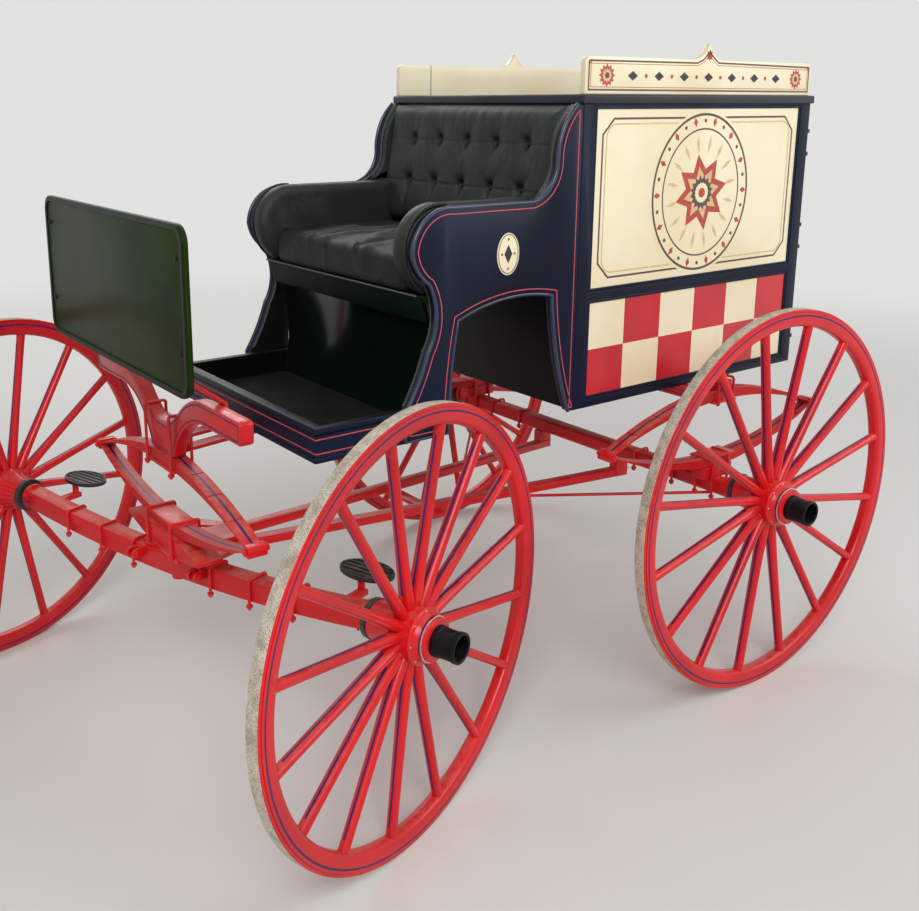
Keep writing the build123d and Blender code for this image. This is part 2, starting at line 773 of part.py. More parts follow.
# Box: walls with sunk panels, floor, bulkhead, roof and the boards that stand along its edges
box_middle_x = (box_front_x + box_rear_x) / 2
panel_length = box_length - 2 * stile_width
check_z = box_bottom_z + bottom_rail
upper_z = check_z + check_height + middle_rail
for name, side in sides:
    with BuildPart() as box_side:
        with BuildSketch(Plane.XZ.offset(-side * body_half_width)):
            with Locations((box_middle_x, box_bottom_z + box_height / 2)):
                Rectangle(box_length, box_height)
        extrude(amount=side * wall)
        with BuildSketch(Plane.XZ.offset(-side * body_half_width)):
            with Locations((box_middle_x, check_z + check_height / 2)):
                Rectangle(panel_length, check_height)
            with Locations((box_middle_x, (upper_z + box_top_z - top_rail) / 2)):
                Rectangle(panel_length, box_top_z - top_rail - upper_z)
        extrude(amount=side * panel_recess, mode=Mode.SUBTRACT)
    save(box_side, f"box_side_{name}")

inner_half = body_half_width - wall
with BuildPart() as bulkhead:
    with BuildSketch(Plane.YZ.offset(box_front_x)):
        with Locations((0, box_bottom_z + box_height / 2)):
            Rectangle(2 * inner_half, box_height)
    extrude(amount=-bulkhead_thickness)
save(bulkhead, "bulkhead")

floor_back_x = box_rear_x + door_thickness + door_gap
floor_front_x = box_front_x - bulkhead_thickness
with BuildPart() as cargo_floor:
    with BuildSketch(Plane.XY.offset(box_bottom_z)):
        with Locations(((floor_back_x + floor_front_x) / 2, 0)):
            Rectangle(floor_front_x - floor_back_x, 2 * inner_half)
    extrude(amount=floor_thickness)
save(cargo_floor, "cargo_floor")

with BuildPart() as roof:
    with BuildSketch(Plane.XY.offset(box_top_z)):
        with Locations((box_middle_x, 0)):
            Rectangle(box_length + 2 * roof_overhang, 2 * (body_half_width + roof_overhang))
    extrude(amount=roof_thickness)
    fillet(roof.edges().group_by(Axis.Z)[-1], roof_round)
save(roof, "roof")

board_z = box_top_z + roof_thickness
board_top_z = board_z + board_height
board_length = box_length - board_inset
peak_x = box_front_x - board_length / 2
for name, side in sides:
    with BuildPart() as sign_board:
        with BuildSketch(Plane.XZ.offset(-side * body_half_width)):
            with BuildLine():
                Polyline(
                    (peak_x - board_length / 2, board_top_z - board_corner),
                    (peak_x - board_length / 2, board_z),
                    (peak_x + board_length / 2, board_z),
                    (peak_x + board_length / 2, board_top_z - board_corner),
                )
                peak = (peak_x, board_top_z + peak_height)
                for hand in (1, -1):
                    corner_x = peak_x + hand * (board_length / 2 - board_corner)
                    foot_x = peak_x + hand * peak_half_width
                    TangentArc(
                        (peak_x + hand * board_length / 2, board_top_z - board_corner),
                        (corner_x, board_top_z),
                        tangent=(0, 1),
                    )
                    Line((corner_x, board_top_z), (foot_x, board_top_z))
                    TangentArc((foot_x, board_top_z), peak, tangent=(-hand, 0))
            make_face()
        extrude(amount=side * board_thickness)
    save(sign_board, f"sign_board_{name}")

# Rear doors: each leaf has a sunk panel and three hinge barrels on pins beside the wall
hinge_x = box_rear_x - barrel_radius - hinge_gap
door_bottom_z = box_bottom_z + door_gap
door_top_z = box_top_z - door_gap
door_height = door_top_z - door_bottom_z
hinge_heights = [door_bottom_z + door_height * share for share in hinge_shares]
for name, side in sides:
    door_width = inner_half - 1.5 * door_gap
    door_middle_y = side * (inner_half - door_gap - door_width / 2)
    with BuildPart() as door:
        with BuildSketch(Plane.YZ.offset(box_rear_x)):
            with Locations((door_middle_y, door_bottom_z + door_height / 2)):
                Rectangle(door_width, door_height)
        extrude(amount=door_thickness)
        with BuildSketch(Plane.YZ.offset(box_rear_x)):
            with Locations((door_middle_y, door_bottom_z + door_height / 2)):
                Rectangle(door_width - 2 * door_stile, door_height - 2 * door_stile)
        extrude(amount=door_recess, mode=Mode.SUBTRACT)
        for z in hinge_heights:
            with BuildSketch(Plane.XY.offset(z - barrel_height / 2)):
                with Locations((hinge_x, side * inner_half)):
                    Circle(barrel_radius)
                with Locations((box_rear_x - hinge_leaf / 2, side * (inner_half - door_stile / 2))):
                    Rectangle(hinge_leaf, door_stile)
                with Locations(((hinge_x + box_rear_x) / 2, side * (inner_half - barrel_radius / 2))):
                    Rectangle(box_rear_x - hinge_x, hinge_leaf)
                with Locations((hinge_x, side * inner_half)):
                    Circle(barrel_bore, mode=Mode.SUBTRACT)
            extrude(amount=barrel_height)
    save(door, f"door_{name}")

with BuildPart() as door_hinges:
    for _, side in sides:
        for z in hinge_heights:
            for end in (1, -1):
                with BuildSketch(Plane.XY.offset(z + end * (barrel_height / 2 + hinge_gap))):
                    with Locations((hinge_x, side * inner_half)):
                        Circle(barrel_radius)
                    with Locations(((hinge_x + box_rear_x) / 2, side * (inner_half + wall / 2))):
                        Rectangle(box_rear_x - hinge_x, wall)
                extrude(amount=end * lug_height)
            with BuildSketch(Plane.XY.offset(z)):
                with Locations((hinge_x, side * inner_half)):
                    Circle(pin_radius)
            extrude(amount=barrel_height / 2 + hinge_gap + lug_height / 2, both=True)
save(door_hinges, "door_hinges")

with BuildPart() as door_latch:
    with BuildSketch(Plane.YZ.offset(box_rear_x)):
        with Locations((latch_y, (door_bottom_z + door_top_z) / 2)):
            Circle(latch_radius)
    extrude(amount=-latch_depth)
    with BuildSketch(Plane.YZ.offset(box_rear_x - latch_depth)):
        with Locations((latch_y, (door_bottom_z + door_top_z) / 2)):
            SlotOverall(latch_length, 2 * latch_radius)
    extrude(amount=latch_radius)
save(door_latch, "door_latch")

# Upholstery: closed solids for the cushion, the back and the arm pads
with BuildPart() as seat_cushion:
    with BuildSketch(Plane.XY.offset(seat_top_z)):
        with Locations(((box_front_x + soft_gap + rear_axle_x + cushion_front_x) / 2, 0)):
            Rectangle(rear_axle_x + cushion_front_x - box_front_x - soft_gap, 2 * cushion_half_width)
    extrude(amount=cushion_height)
    fillet(seat_cushion.edges().group_by(Axis.Z)[-1], cushion_round)
save(seat_cushion, "seat_cushion")

back_bottom_z = seat_top_z + cushion_height + soft_gap
with BuildPart() as seat_back:
    with BuildSketch(Plane.XZ):
        with BuildLine():
            Polyline(
                (box_front_x + soft_gap, back_bottom_z),
                (box_front_x + back_bottom_depth, back_bottom_z),
                (box_front_x + back_top_depth, box_top_z - soft_gap),
                (box_front_x + soft_gap, box_top_z - soft_gap),
                close=True,
            )
        make_face()
    extrude(amount=body_half_width - panel_thickness - soft_gap, both=True)
save(seat_back, "seat_back")

pad_back_x = box_front_x + back_bottom_depth + soft_gap
pad_foot = panel_point((scroll_foot[0] - 3 * pad_swell, seat_top_z))
pad_nose = panel_point(scroll_nose, (pad_swell, 2 * pad_swell))
pad_top = panel_point((arm_front_x + pad_swell, arm_z + pad_proud))
for name, side in sides:
    with BuildPart() as arm_pad:
        with BuildSketch(Plane.XZ.offset(-side * (body_half_width - panel_thickness - soft_gap))):
            with BuildLine():
                Line((pad_back_x, seat_top_z), pad_foot)
                ThreePointArc(pad_foot, panel_point(scroll_underside, (pad_swell, -3 * pad_swell)), pad_nose)
                ThreePointArc(pad_nose, panel_point(scroll_shoulder, (pad_swell, 2 * pad_swell)), pad_top)
                Polyline(pad_top, (pad_back_x, arm_z + pad_proud), (pad_back_x, seat_top_z))
            make_face()
        extrude(amount=side * arm_pad_thickness)
    save(arm_pad, f"arm_pad_{name}")

# Shaft couplings: two forked eyes on the front face of the turned axle
with BuildPart() as shaft_couplings:
    for _, side in sides:
        face = Vector(king_x, 0, front_bed_top_z - coupling_radius)
        face += forward * (bed_width / 2) + lateral * (side * coupling_y)
        with BuildSketch(Plane(origin=face, x_dir=lateral, z_dir=forward)):
            Rectangle(coupling_slot + 2 * coupling_lug, 2 * coupling_radius)
        extrude(amount=coupling_wall)
        for hand in (1, -1):
            lug_foot = face + lateral * (hand * coupling_slot / 2)
            with BuildSketch(Plane(origin=lug_foot, x_dir=forward, z_dir=lateral * hand)):
                with Locations((coupling_reach / 2, 0)):
                    Rectangle(coupling_reach, 2 * coupling_radius)
                with Locations((coupling_reach, 0)):
                    Circle(coupling_radius)
                    Circle(coupling_bore, mode=Mode.SUBTRACT)
            extrude(amount=coupling_lug)
save(shaft_couplings, "shaft_couplings")

# Step plates: oval treads behind the turned axle, each on a stem that stands on a flat arm
with BuildPart() as step_plates:
    for _, side in sides:
        tread = Vector(king_x, 0, step_top_z) + lateral * (side * step_y) - forward * step_back
        foot = Vector(king_x, 0, step_arm_z) + lateral * (side * step_stem_y) - forward * step_stem_back
        with BuildSketch(Plane(origin=tread, x_dir=lateral, z_dir=(0, 0, -1))):
            Ellipse(step_half_length, step_half_width)
        extrude(amount=step_thickness)
        with BuildSketch(Plane(origin=foot, z_dir=(0, 0, 1))):
            Circle(step_stem_radius)
        extrude(amount=step_top_z - step_thickness / 2 - step_arm_z)
        with BuildSketch(Plane(origin=foot - forward * (step_arm_width / 2), x_dir=lateral, z_dir=forward)):
            Rectangle(step_arm_width, step_arm_depth)
        extrude(amount=step_stem_back + (step_arm_width - bed_width) / 2)
save(step_plates, "step_plates")
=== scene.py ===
import json
from math import asin, atan2, cos, exp, pi, radians, sin, sqrt

import bmesh
import bpy
from mathutils import Matrix, Vector, noise
from mathutils.bvhtree import BVHTree


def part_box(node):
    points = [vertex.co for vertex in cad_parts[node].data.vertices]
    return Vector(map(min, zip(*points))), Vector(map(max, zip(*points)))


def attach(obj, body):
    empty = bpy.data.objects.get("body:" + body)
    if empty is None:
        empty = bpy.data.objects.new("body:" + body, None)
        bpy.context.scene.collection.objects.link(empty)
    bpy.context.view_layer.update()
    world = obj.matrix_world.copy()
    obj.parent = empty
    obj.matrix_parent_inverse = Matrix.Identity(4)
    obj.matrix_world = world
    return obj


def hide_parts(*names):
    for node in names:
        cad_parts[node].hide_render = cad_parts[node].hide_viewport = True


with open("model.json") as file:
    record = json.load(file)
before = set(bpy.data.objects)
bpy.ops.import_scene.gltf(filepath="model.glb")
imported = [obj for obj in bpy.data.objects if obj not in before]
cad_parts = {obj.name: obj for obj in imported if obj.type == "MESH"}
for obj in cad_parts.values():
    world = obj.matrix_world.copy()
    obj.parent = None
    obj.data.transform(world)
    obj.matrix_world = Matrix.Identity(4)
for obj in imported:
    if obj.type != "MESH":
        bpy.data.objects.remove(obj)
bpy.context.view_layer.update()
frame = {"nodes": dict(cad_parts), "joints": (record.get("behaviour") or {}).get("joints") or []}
nodes = frame["nodes"]
joints = {joint["name"]: joint for joint in frame["joints"]}
rearAxleX = joints["roll_rear_left"]["pos_m"][0]
kingX = joints["steer"]["pos_m"][0]
sides = (("left", 1), ("right", -1))
up = Vector((0, 0, 1))
print("frame loaded:", len(nodes), "nodes")


def linked(name, data):
    holder = bpy.data.objects.new(name, data)
    bpy.context.scene.collection.objects.link(holder)
    return holder


def looking(name, data, place, way):
    # a camera or a lamp at a place, turned one way
    holder = linked(name, data)
    holder.location = place
    holder.rotation_mode = "QUATERNION"
    holder.rotation_quaternion = way.to_track_quat("-Z", "Y")
    return holder


def onBothSides(make, settings):
    for sideName, side in sides:
        make(sideName, side, settings)


# Camera: the photograph's own place and view
cameraSettings = {
    "place": (1.6357, 2.3705, 1.6371),
    "heading": 234.497,  # degrees round from +X
    "dip": 13.025,  # degrees below the horizon
    "lens": 40.69,
    "shift": (0.0690, -0.1223),
}


def makeCamera(settings):
    lens = bpy.data.cameras.new("camera")
    lens.sensor_width = 36
    lens.lens = settings["lens"]
    lens.shift_x, lens.shift_y = settings["shift"]
    heading, dip = radians(settings["heading"]), radians(settings["dip"])
    way = Vector((cos(heading) * cos(dip), sin(heading) * cos(dip), -sin(dip)))
    bpy.context.scene.camera = looking("camera", lens, settings["place"], way)


makeCamera(cameraSettings)
print("camera placed")


# Shader sums: a Signal is one output socket, and an operator on it adds a Math node
class Signal:
    def __init__(self, finish, socket):
        self.finish = finish
        self.socket = socket

    def maths(self, operation, *values):
        return self.finish.node("Math", {"operation": operation}, dict(enumerate(values)))

    def __add__(self, other):
        return self.maths("ADD", self, other)

    def __radd__(self, other):
        return self.maths("ADD", other, self)

    def __sub__(self, other):
        return self.maths("SUBTRACT", self, other)

    def __rsub__(self, other):
        return self.maths("SUBTRACT", other, self)

    def __mul__(self, other):
        return self.maths("MULTIPLY", self, other)

    def __rmul__(self, other):
        return self.maths("MULTIPLY", other, self)

    def most(self, other):
        return self.maths("MAXIMUM", self, other)

    def rise(self, low, high):  # 0 below low, 1 above high, smooth between
        settings = {"interpolation_type": "SMOOTHSTEP"}
        return self.finish.node("MapRange", settings, {0: self, 1: low, 2: high, 3: 0.0, 4: 1.0})


class Finish:
    def __init__(self, name, world=None):
        self.material = world or bpy.data.materials.new(name)
        self.material.use_nodes = True
        self.tree = self.material.node_tree
        self.shader = self.tree.nodes.get("Principled BSDF")

    def node(self, kind, settings=None, sockets=None, output=0):
        made = self.tree.nodes.new("ShaderNode" + kind)
        for key, value in (settings or {}).items():
            setattr(made, key, value)
        for key, value in (sockets or {}).items():
            self.feed(made.inputs[key], value)
        return Signal(self, made.outputs[output])

    def feed(self, socket, value):
        if isinstance(value, Signal):
            self.tree.links.new(value.socket, socket)
        else:
            socket.default_value = value

    def set(self, **values):
        for name, value in values.items():
            words = "".join(" " + letter if letter.isupper() else letter for letter in name)
            words = "Specular IOR Level" if name == "specular" else words[0].upper() + words[1:]
            self.feed(self.shader.inputs[words], value)

    def place(self):
        return self.node("TexCoord", output=3)

    def cloud(self, scale, detail=3.0, roughness=0.5, where=None):
        sockets = {"Vector": where or self.place(), "Scale": scale, "Detail": detail, "Roughness": roughness}
        return self.node("TexNoise", None, sockets)

    def stretched(self, scale):
        return self.node("Mapping", None, {"Vector": self.place(), "Scale": scale})

    def facingUp(self):
        return self.node("SeparateXYZ", None, {0: self.node("TexCoord", output=1)}, output=2)

    def between(self, first, second, share):
        return self.node("Mix", {"data_type": "RGBA"}, {0: share, 6: first, 7: second}, output=2)

    def bump(self, height, strength, distance):
        return self.node("Bump", None, {"Strength": strength, "Distance": distance, "Height": height})


def rgb(red, green, blue):
    # display values 0 to 255, as linear light
    def linear(value):
        share = value / 255
        return share / 12.92 if share < 0.04045 else ((share + 0.055) / 1.055) ** 2.4

    return (linear(red), linear(green), linear(blue), 1.0)


# Coach paint: brushed coats under varnish, faded in clouds, dusty on what faces up
def coachPaint(name, colour, shade, dustColour=(196, 150, 128), *, dust, coat, gloss=0.28, chips=0.0, shine=0.5):
    finish = Finish(name)
    fade = finish.cloud(3.0, 4.0)
    grime = finish.cloud(38.0, 5.0, 0.65)
    brush = finish.cloud(90.0, 2.0, 0.5, finish.stretched((1.0, 1.0, 0.12)))
    base = finish.between(rgb(*colour), rgb(*shade), fade.rise(0.38, 0.66))
    dusty = finish.facingUp().rise(0.55, 0.98) * grime.rise(0.30, 0.72) * dust
    spots = finish.cloud(150.0, 2.0, 0.5).rise(0.70, 0.74) * chips
    finish.set(
        baseColor=finish.between(finish.between(base, rgb(*dustColour), dusty), rgb(92, 60, 50), spots),
        roughness=gloss + fade * 0.10 + dusty * 0.55,
        coatWeight=coat - dusty * coat,
        coatRoughness=0.10,
        specular=shine,
        normal=finish.bump(brush + grime * 0.5, 0.10, 0.0006),
    )
    return finish.material


def plainLine(name, colour):
    finish = Finish(name)
    worn = finish.cloud(120.0, 3.0, 0.6).rise(0.35, 0.75)
    fresh = rgb(*colour)
    paler = tuple(min(1.0, value * 1.25 + 0.01) for value in fresh[:3]) + (1.0,)
    finish.set(baseColor=finish.between(fresh, paler, worn), roughness=0.35 + worn * 0.12, specular=0.25)
    return finish.material


def leather(name, colour, worn, roughness, creases):
    finish = Finish(name)
    pebbles = finish.node("TexVoronoi", {"feature": "DISTANCE_TO_EDGE"}, {"Vector": finish.place(), "Scale": 420.0})
    folds = finish.cloud(26.0, 5.0, 0.62)
    fade = finish.cloud(5.0, 3.0)
    rubbed = fade.rise(0.42, 0.75) * folds.rise(0.35, 0.65)
    finish.set(
        baseColor=finish.between(rgb(*colour), rgb(*worn), rubbed),
        roughness=roughness + rubbed * 0.2,
        specular=0.3,
        normal=finish.bump(pebbles.rise(0.0, 0.25) * 0.35 + folds * creases, 0.30, 0.0012),
    )
    return finish.material


def metal(name, colour, roughness, metallic=1.0, rust=0.0):
    finish = Finish(name)
    pits = finish.cloud(140.0, 5.0, 0.6)
    patches = finish.cloud(9.0, 4.0).rise(0.5, 0.7) * rust
    finish.set(
        baseColor=finish.between(rgb(*colour), rgb(110, 62, 40), patches),
        roughness=roughness + pits * 0.15,
        metallic=metallic - patches * metallic,
        normal=finish.bump(pits, 0.2, 0.0005),
    )
    return finish.material


def wornTread():
    finish = Finish("worn_tread")
    grit = finish.cloud(380.0, 3.0, 0.7)
    patches = finish.cloud(30.0, 5.0, 0.7)
    sand = finish.between(rgb(206, 196, 180), rgb(150, 134, 116), patches.rise(0.40, 0.66) * 0.7)
    specks = grit.rise(0.52, 0.60)
    finish.set(
        baseColor=finish.between(sand, rgb(104, 92, 82), specks * 0.75),
        roughness=0.86,
        normal=finish.bump(grit, 0.5, 0.0012),
    )
    return finish.material


def floorMat():
    finish = Finish("floor_mat")
    tufts = finish.cloud(620.0, 3.0, 0.7)
    patches = finish.cloud(8.0, 3.0)
    finish.set(
        baseColor=finish.between(rgb(9, 10, 10), rgb(28, 29, 25), patches.rise(0.4, 0.7) * tufts),
        roughness=0.95,
        specular=0.2,
        normal=finish.bump(tufts, 0.8, 0.002),
    )
    return finish.material


red = coachPaint(
    "red_paint", (216, 22, 30), (190, 17, 26), (206, 136, 120),
    dust=0.30, coat=0.14, gloss=0.25, chips=0.3, shine=0.32,
)
redDusty = coachPaint(
    "red_dusty", (210, 22, 30), (184, 17, 26), (198, 146, 122),
    dust=0.45, coat=0.08, gloss=0.36, chips=0.4, shine=0.26,
)
redBright = coachPaint("red_iron", (218, 24, 32), (192, 18, 28), (208, 140, 124), dust=0.2, coat=0.1, shine=0.35)
checkRed = coachPaint("check_red", (206, 34, 46), (186, 26, 40), dust=0.1, coat=0.2)
navy = coachPaint("navy_paint", (13, 24, 48), (9, 17, 36), (84, 88, 98), dust=0.2, coat=0.03, gloss=0.34, shine=0.16)
# The bead's navy is lightened to blue-grey: a painted highlight along the half-round mouldings
navyBeadPaintedHighlight = coachPaint("navy_bead_painted_highlight", (38, 48, 76), (26, 34, 58), (130, 136, 148), dust=0.3, coat=0.3, gloss=0.25)
green = coachPaint("green_gloss", (32, 54, 17), (22, 40, 13), (84, 92, 70), dust=0.1, coat=0, gloss=0.3, shine=0.05)
riserGreen = coachPaint("riser_green", (10, 24, 18), (7, 17, 13), dust=0.05, coat=0.06, gloss=0.08, shine=0.22)
darkGreen = coachPaint(
    "dark_green", (17, 30, 15), (12, 21, 11), (84, 92, 70), dust=0.1, coat=0, gloss=0.34, shine=0.14
)
apronGreen = coachPaint("apron_green", (10, 30, 24), (7, 22, 18), dust=0.05, coat=0.0, gloss=0.45, shine=0.05)
cream = coachPaint("cream_paint", (242, 232, 201), (234, 220, 182), (196, 186, 160), dust=0.25, coat=0.15)
checkCream = coachPaint("check_cream", (242, 233, 205), (234, 221, 186), (200, 190, 168), dust=0.1, coat=0.15)
black = coachPaint("black_paint", (11, 11, 13), (7, 7, 9), (84, 80, 76), dust=0.15, coat=0.04, gloss=0.4, shine=0.16)
blackIron = coachPaint("black_iron", (30, 31, 32), (18, 18, 19), (120, 112, 100), dust=0.5, coat=0.2, gloss=0.4)
roofCanvas = coachPaint("roof_canvas", (26, 30, 44), (20, 22, 32), (110, 108, 104), dust=0.5, coat=0.1, gloss=0.5)
hide = leather("seat_leather", (36, 41, 39), (50, 56, 52), 0.48, 0.4)
# A darker copy of the seat leather: painted shade for the dimples, seams and pleats of the seat back
hidePaintedShade = leather("leather_painted_shade", (22, 26, 25), (32, 36, 34), 0.6, 0.3)
hideButton = leather("button_leather", (22, 25, 24), (38, 42, 40), 0.44, 0.2)
cushionHide = leather("cushion_leather", (27, 29, 26), (45, 47, 42), 0.62, 0.5)
tread = wornTread()
matting = floorMat()
silver = metal("silver_band", (214, 214, 210), 0.25)
gimp = metal("silver_gimp", (98, 98, 90), 0.55, 0.35)
brass = metal("dull_brass", (196, 158, 118), 0.4, rust=0.3)
navyLine = plainLine("navy_line", (46, 30, 84))
roseLine = plainLine("rose_line", (196, 74, 92))
brownLine = plainLine("brown_line", (92, 74, 66))
tanLine = plainLine("tan_line", (206, 178, 132))
brickLine = plainLine("brick_line", (176, 72, 62))
inkLine = plainLine("ink_line", (52, 46, 52))
print("finishes made")


# Shapes: a Piece gathers loose shapes in one mesh that rides on one body
shapeSettings = {
    "merge": 1e-5,  # corners of a node's mesh this near are one
    "slack": 0.0004,  # from a node's outermost level
    "square": 0.999,  # how straight a side faces
    "sharp": 32.0,  # degrees over which an edge is shaded sharp
    "sink": 0.0003,
    "proud": 0.0004,
}


def pour(target, shape):
    # moves one bmesh into another
    loose = bpy.data.meshes.new("loose")
    shape.to_mesh(loose)
    shape.free()
    target.from_mesh(loose)
    bpy.data.meshes.remove(loose)


class Piece:
    def __init__(self, name, body, finishes, slot=None, replaces=()):
        self.name, self.body, self.finishes, self.slot, self.replaces = name, body, finishes, slot, replaces
        self.bm = bmesh.new()

    def take(self, shape, finish=None, matrix=None):
        if matrix:
            bmesh.ops.transform(shape, matrix=matrix, verts=shape.verts)
        if finish is not None:
            for face in shape.faces:
                face.material_index = finish
        pour(self.bm, shape)

    def lay(self, shape, finish, lie, proud, sink=0.0):
        # a flat shape, thickened and set on its plane
        self.take(thicken(shape, up, sink, proud), finish, lie)

    def lineRound(self, shape, width, finish, lie, proud, sink=0.0):
        # a raised line just inside the outline of a flat shape
        self.take(ringOf(shape, 0, width, up, sink, proud), finish, lie)

    def rosette(self, rows, lie, centre=(0, 0), turn=0.0, sink=0.0):
        for radius, points, waist, finish, proud in rows:
            self.lay(star(radius, points, waist, centre, turn), finish, lie, proud, sink)

    def done(self, smooth=shapeSettings["sharp"], weld=True):
        if weld:
            bmesh.ops.remove_doubles(self.bm, verts=self.bm.verts, dist=1e-6)
            bmesh.ops.recalc_face_normals(self.bm, faces=self.bm.faces)
        mesh = bpy.data.meshes.new(self.name)
        self.bm.to_mesh(mesh)
        self.bm.free()
        for finish in self.finishes:
            mesh.materials.append(finish)
        mesh.shade_smooth()
        mesh.set_sharp_from_angle(angle=radians(smooth))
        piece = linked(self.name, mesh)
        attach(piece, self.body)
        if self.replaces:
            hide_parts(*self.replaces)
        return piece


def onePiece(name, body, finishes, slot, shape, finish=None, replaces=(), smooth=shapeSettings["sharp"], weld=True):
    # a piece of one shape
    piece = Piece(name, body, finishes, slot, replaces)
    piece.take(shape, finish)
    return piece.done(smooth, weld)


def lathe(profile, steps, closed=False):
    # turns a line of (radius, height) round Z
    shape = bmesh.new()
    line = [shape.verts.new((reach, 0, height)) for reach, height in profile]
    edges = [shape.edges.new(pair) for pair in zip(line, line[1:])]
    if closed:
        edges.append(shape.edges.new((line[-1], line[0])))
    bmesh.ops.spin(
        shape, geom=line + edges, cent=(0, 0, 0), axis=(0, 0, 1), angle=2 * pi, steps=steps, use_merge=True
    )
    bmesh.ops.remove_doubles(shape, verts=shape.verts, dist=1e-7)
    bmesh.ops.recalc_face_normals(shape, faces=shape.faces)
    return shape


def loft(sections, count, turn):
    # bridges ovals of (distance, half width, half depth) along X
    shape = bmesh.new()
    rings = []
    for along, halfWidth, halfDepth in sections:
        lie = Matrix.Translation((along, 0, 0)) @ Matrix.Rotation(pi / 2, 4, "Y")
        oval = Matrix.Diagonal((halfDepth, halfWidth, 1, 1)) @ Matrix.Rotation(turn, 4, "Z")
        ring = bmesh.ops.create_circle(shape, segments=count, radius=1, matrix=lie @ oval)["verts"]
        rings.append([edge for edge in shape.edges if edge.verts[0] in ring and edge.verts[1] in ring])
    for near, far in zip(rings, rings[1:]):
        bmesh.ops.bridge_loops(shape, edges=near + far)
    for ring in (rings[0], rings[-1]):
        bmesh.ops.contextual_create(shape, geom=ring)
    bmesh.ops.recalc_face_normals(shape, faces=shape.faces)
    return shape


def ease(shape, edges, offset, segments=2):
    bmesh.ops.bevel(shape, geom=edges, offset=offset, affect="EDGES", segments=segments, profile=0.5, material=-1)


def easeTop(shape, way, offset, segments=2):
    # rounds the edges on the outermost level along a direction
    way = Vector(way)
    level = max(vert.co.dot(way) for vert in shape.verts)
    top = [edge for edge in shape.edges if all(level - vert.co.dot(way) < 0.001 for vert in edge.verts)]
    ease(shape, top, offset, segments)


def cut(shape, place, way, clear=False):
    bmesh.ops.bisect_plane(
        shape, geom=shape.verts[:] + shape.edges[:] + shape.faces[:], plane_co=place, plane_no=way, clear_outer=clear
    )


def inset(shape, faces, thickness):
    return bmesh.ops.inset_region(
        shape, faces=faces, thickness=thickness, use_boundary=True, use_even_offset=True
    )["faces"]


def block(size, place, soften=0.0015):
    shape = bmesh.new()
    bmesh.ops.create_cube(shape, size=1, matrix=Matrix.Translation(place) @ Matrix.Diagonal((*size, 1)))
    if soften:
        ease(shape, shape.edges[:], soften)
    return shape


def aimed(place, way):
    # a matrix that stands local Z along a direction at a place
    return Matrix.Translation(place) @ Vector(way).to_track_quat("Z", "Y").to_matrix().to_4x4()


def boltHead(radius, height, count=12):
    # a low dome, sunk a little
    dome = ((0, 1), (0.45, 0.93), (0.8, 0.6), (1, 0.15))
    return lathe([(radius * out, height * rise) for out, rise in dome] + [(radius, -0.001)], count)


def nut(radius, height):
    shape = bmesh.new()
    bmesh.ops.create_cone(
        shape, cap_ends=True, segments=6, radius1=radius, radius2=radius, depth=height,
        matrix=Matrix.Translation((0, 0, height / 2)),
    )
    rims = [edge for edge in shape.edges if abs(edge.verts[0].co.z - edge.verts[1].co.z) < 1e-6]
    ease(shape, rims, radius * 0.15, 1)
    return shape


def rod(start, end, radius, count):
    shape = bmesh.new()
    start, end = Vector(start), Vector(end)
    bmesh.ops.create_cone(
        shape, cap_ends=True, segments=count, radius1=radius, radius2=radius, depth=(end - start).length,
        matrix=aimed((start + end) / 2, end - start),
    )
    return shape


def tube(points, radius, resolution):
    # a round moulding along a line of points
    line = bpy.data.curves.new("line", "CURVE")
    line.dimensions = "3D"
    line.bevel_depth = radius
    line.bevel_resolution = resolution
    line.use_fill_caps = True
    run = line.splines.new("POLY")
    run.points.add(len(points) - 1)
    for point, place in zip(run.points, points):
        point.co = (*place, 1)
    holder = bpy.data.objects.new("line", line)
    mesh = bpy.data.meshes.new_from_object(holder)
    shape = bmesh.new()
    shape.from_mesh(mesh)
    bpy.data.objects.remove(holder)
    bpy.data.curves.remove(line)
    bpy.data.meshes.remove(mesh)
    bmesh.ops.remove_doubles(shape, verts=shape.verts, dist=1e-6)
    bmesh.ops.recalc_face_normals(shape, faces=shape.faces)
    return shape


def merged(node):
    # a merged copy of a node's mesh
    shape = bmesh.new()
    shape.from_mesh(nodes[node].data)
    bmesh.ops.remove_doubles(shape, verts=shape.verts, dist=shapeSettings["merge"])
    return shape


def flatFace(node, way):
    # a node's outermost flat side that faces one way, as the one face of a bmesh
    shape = merged(node)
    shape.normal_update()
    way = Vector(way).normalized()
    level = max(vert.co.dot(way) for vert in shape.verts)
    off = []
    for face in shape.faces:
        away = abs(face.calc_center_median().dot(way) - level)
        if face.normal.dot(way) < shapeSettings["square"] or away > shapeSettings["slack"]:
            off.append(face)
    bmesh.ops.delete(shape, geom=off, context="FACES")
    bmesh.ops.dissolve_faces(shape, faces=shape.faces[:])
    shape.faces.ensure_lookup_table()
    return shape


def loopOf(shape):
    # the outline of a one-face bmesh, in order
    return [loop.vert.co.copy() for loop in shape.faces[0].loops]


def ringOf(shape, margin, width, way, sink=shapeSettings["sink"], proud=shapeSettings["proud"]):
    # a thin raised line that follows the outline of a face at a margin
    shape.faces.ensure_lookup_table()
    face = shape.faces[0]
    if margin:
        bmesh.ops.delete(shape, geom=inset(shape, [face], margin), context="FACES")
    inset(shape, [face], width)
    bmesh.ops.delete(shape, geom=[face], context="FACES")
    return thicken(shape, way, sink, proud)


def thicken(shape, way, sink, proud):
    # gives flat faces a small thickness, partly sunk
    way = Vector(way).normalized()
    bmesh.ops.translate(shape, vec=-way * sink, verts=shape.verts)
    top = bmesh.ops.extrude_face_region(shape, geom=shape.faces[:], use_keep_orig=True)["geom"]
    raised = [item for item in top if isinstance(item, bmesh.types.BMVert)]
    bmesh.ops.translate(shape, vec=way * (sink + proud), verts=raised)
    bmesh.ops.recalc_face_normals(shape, faces=shape.faces)
    return shape


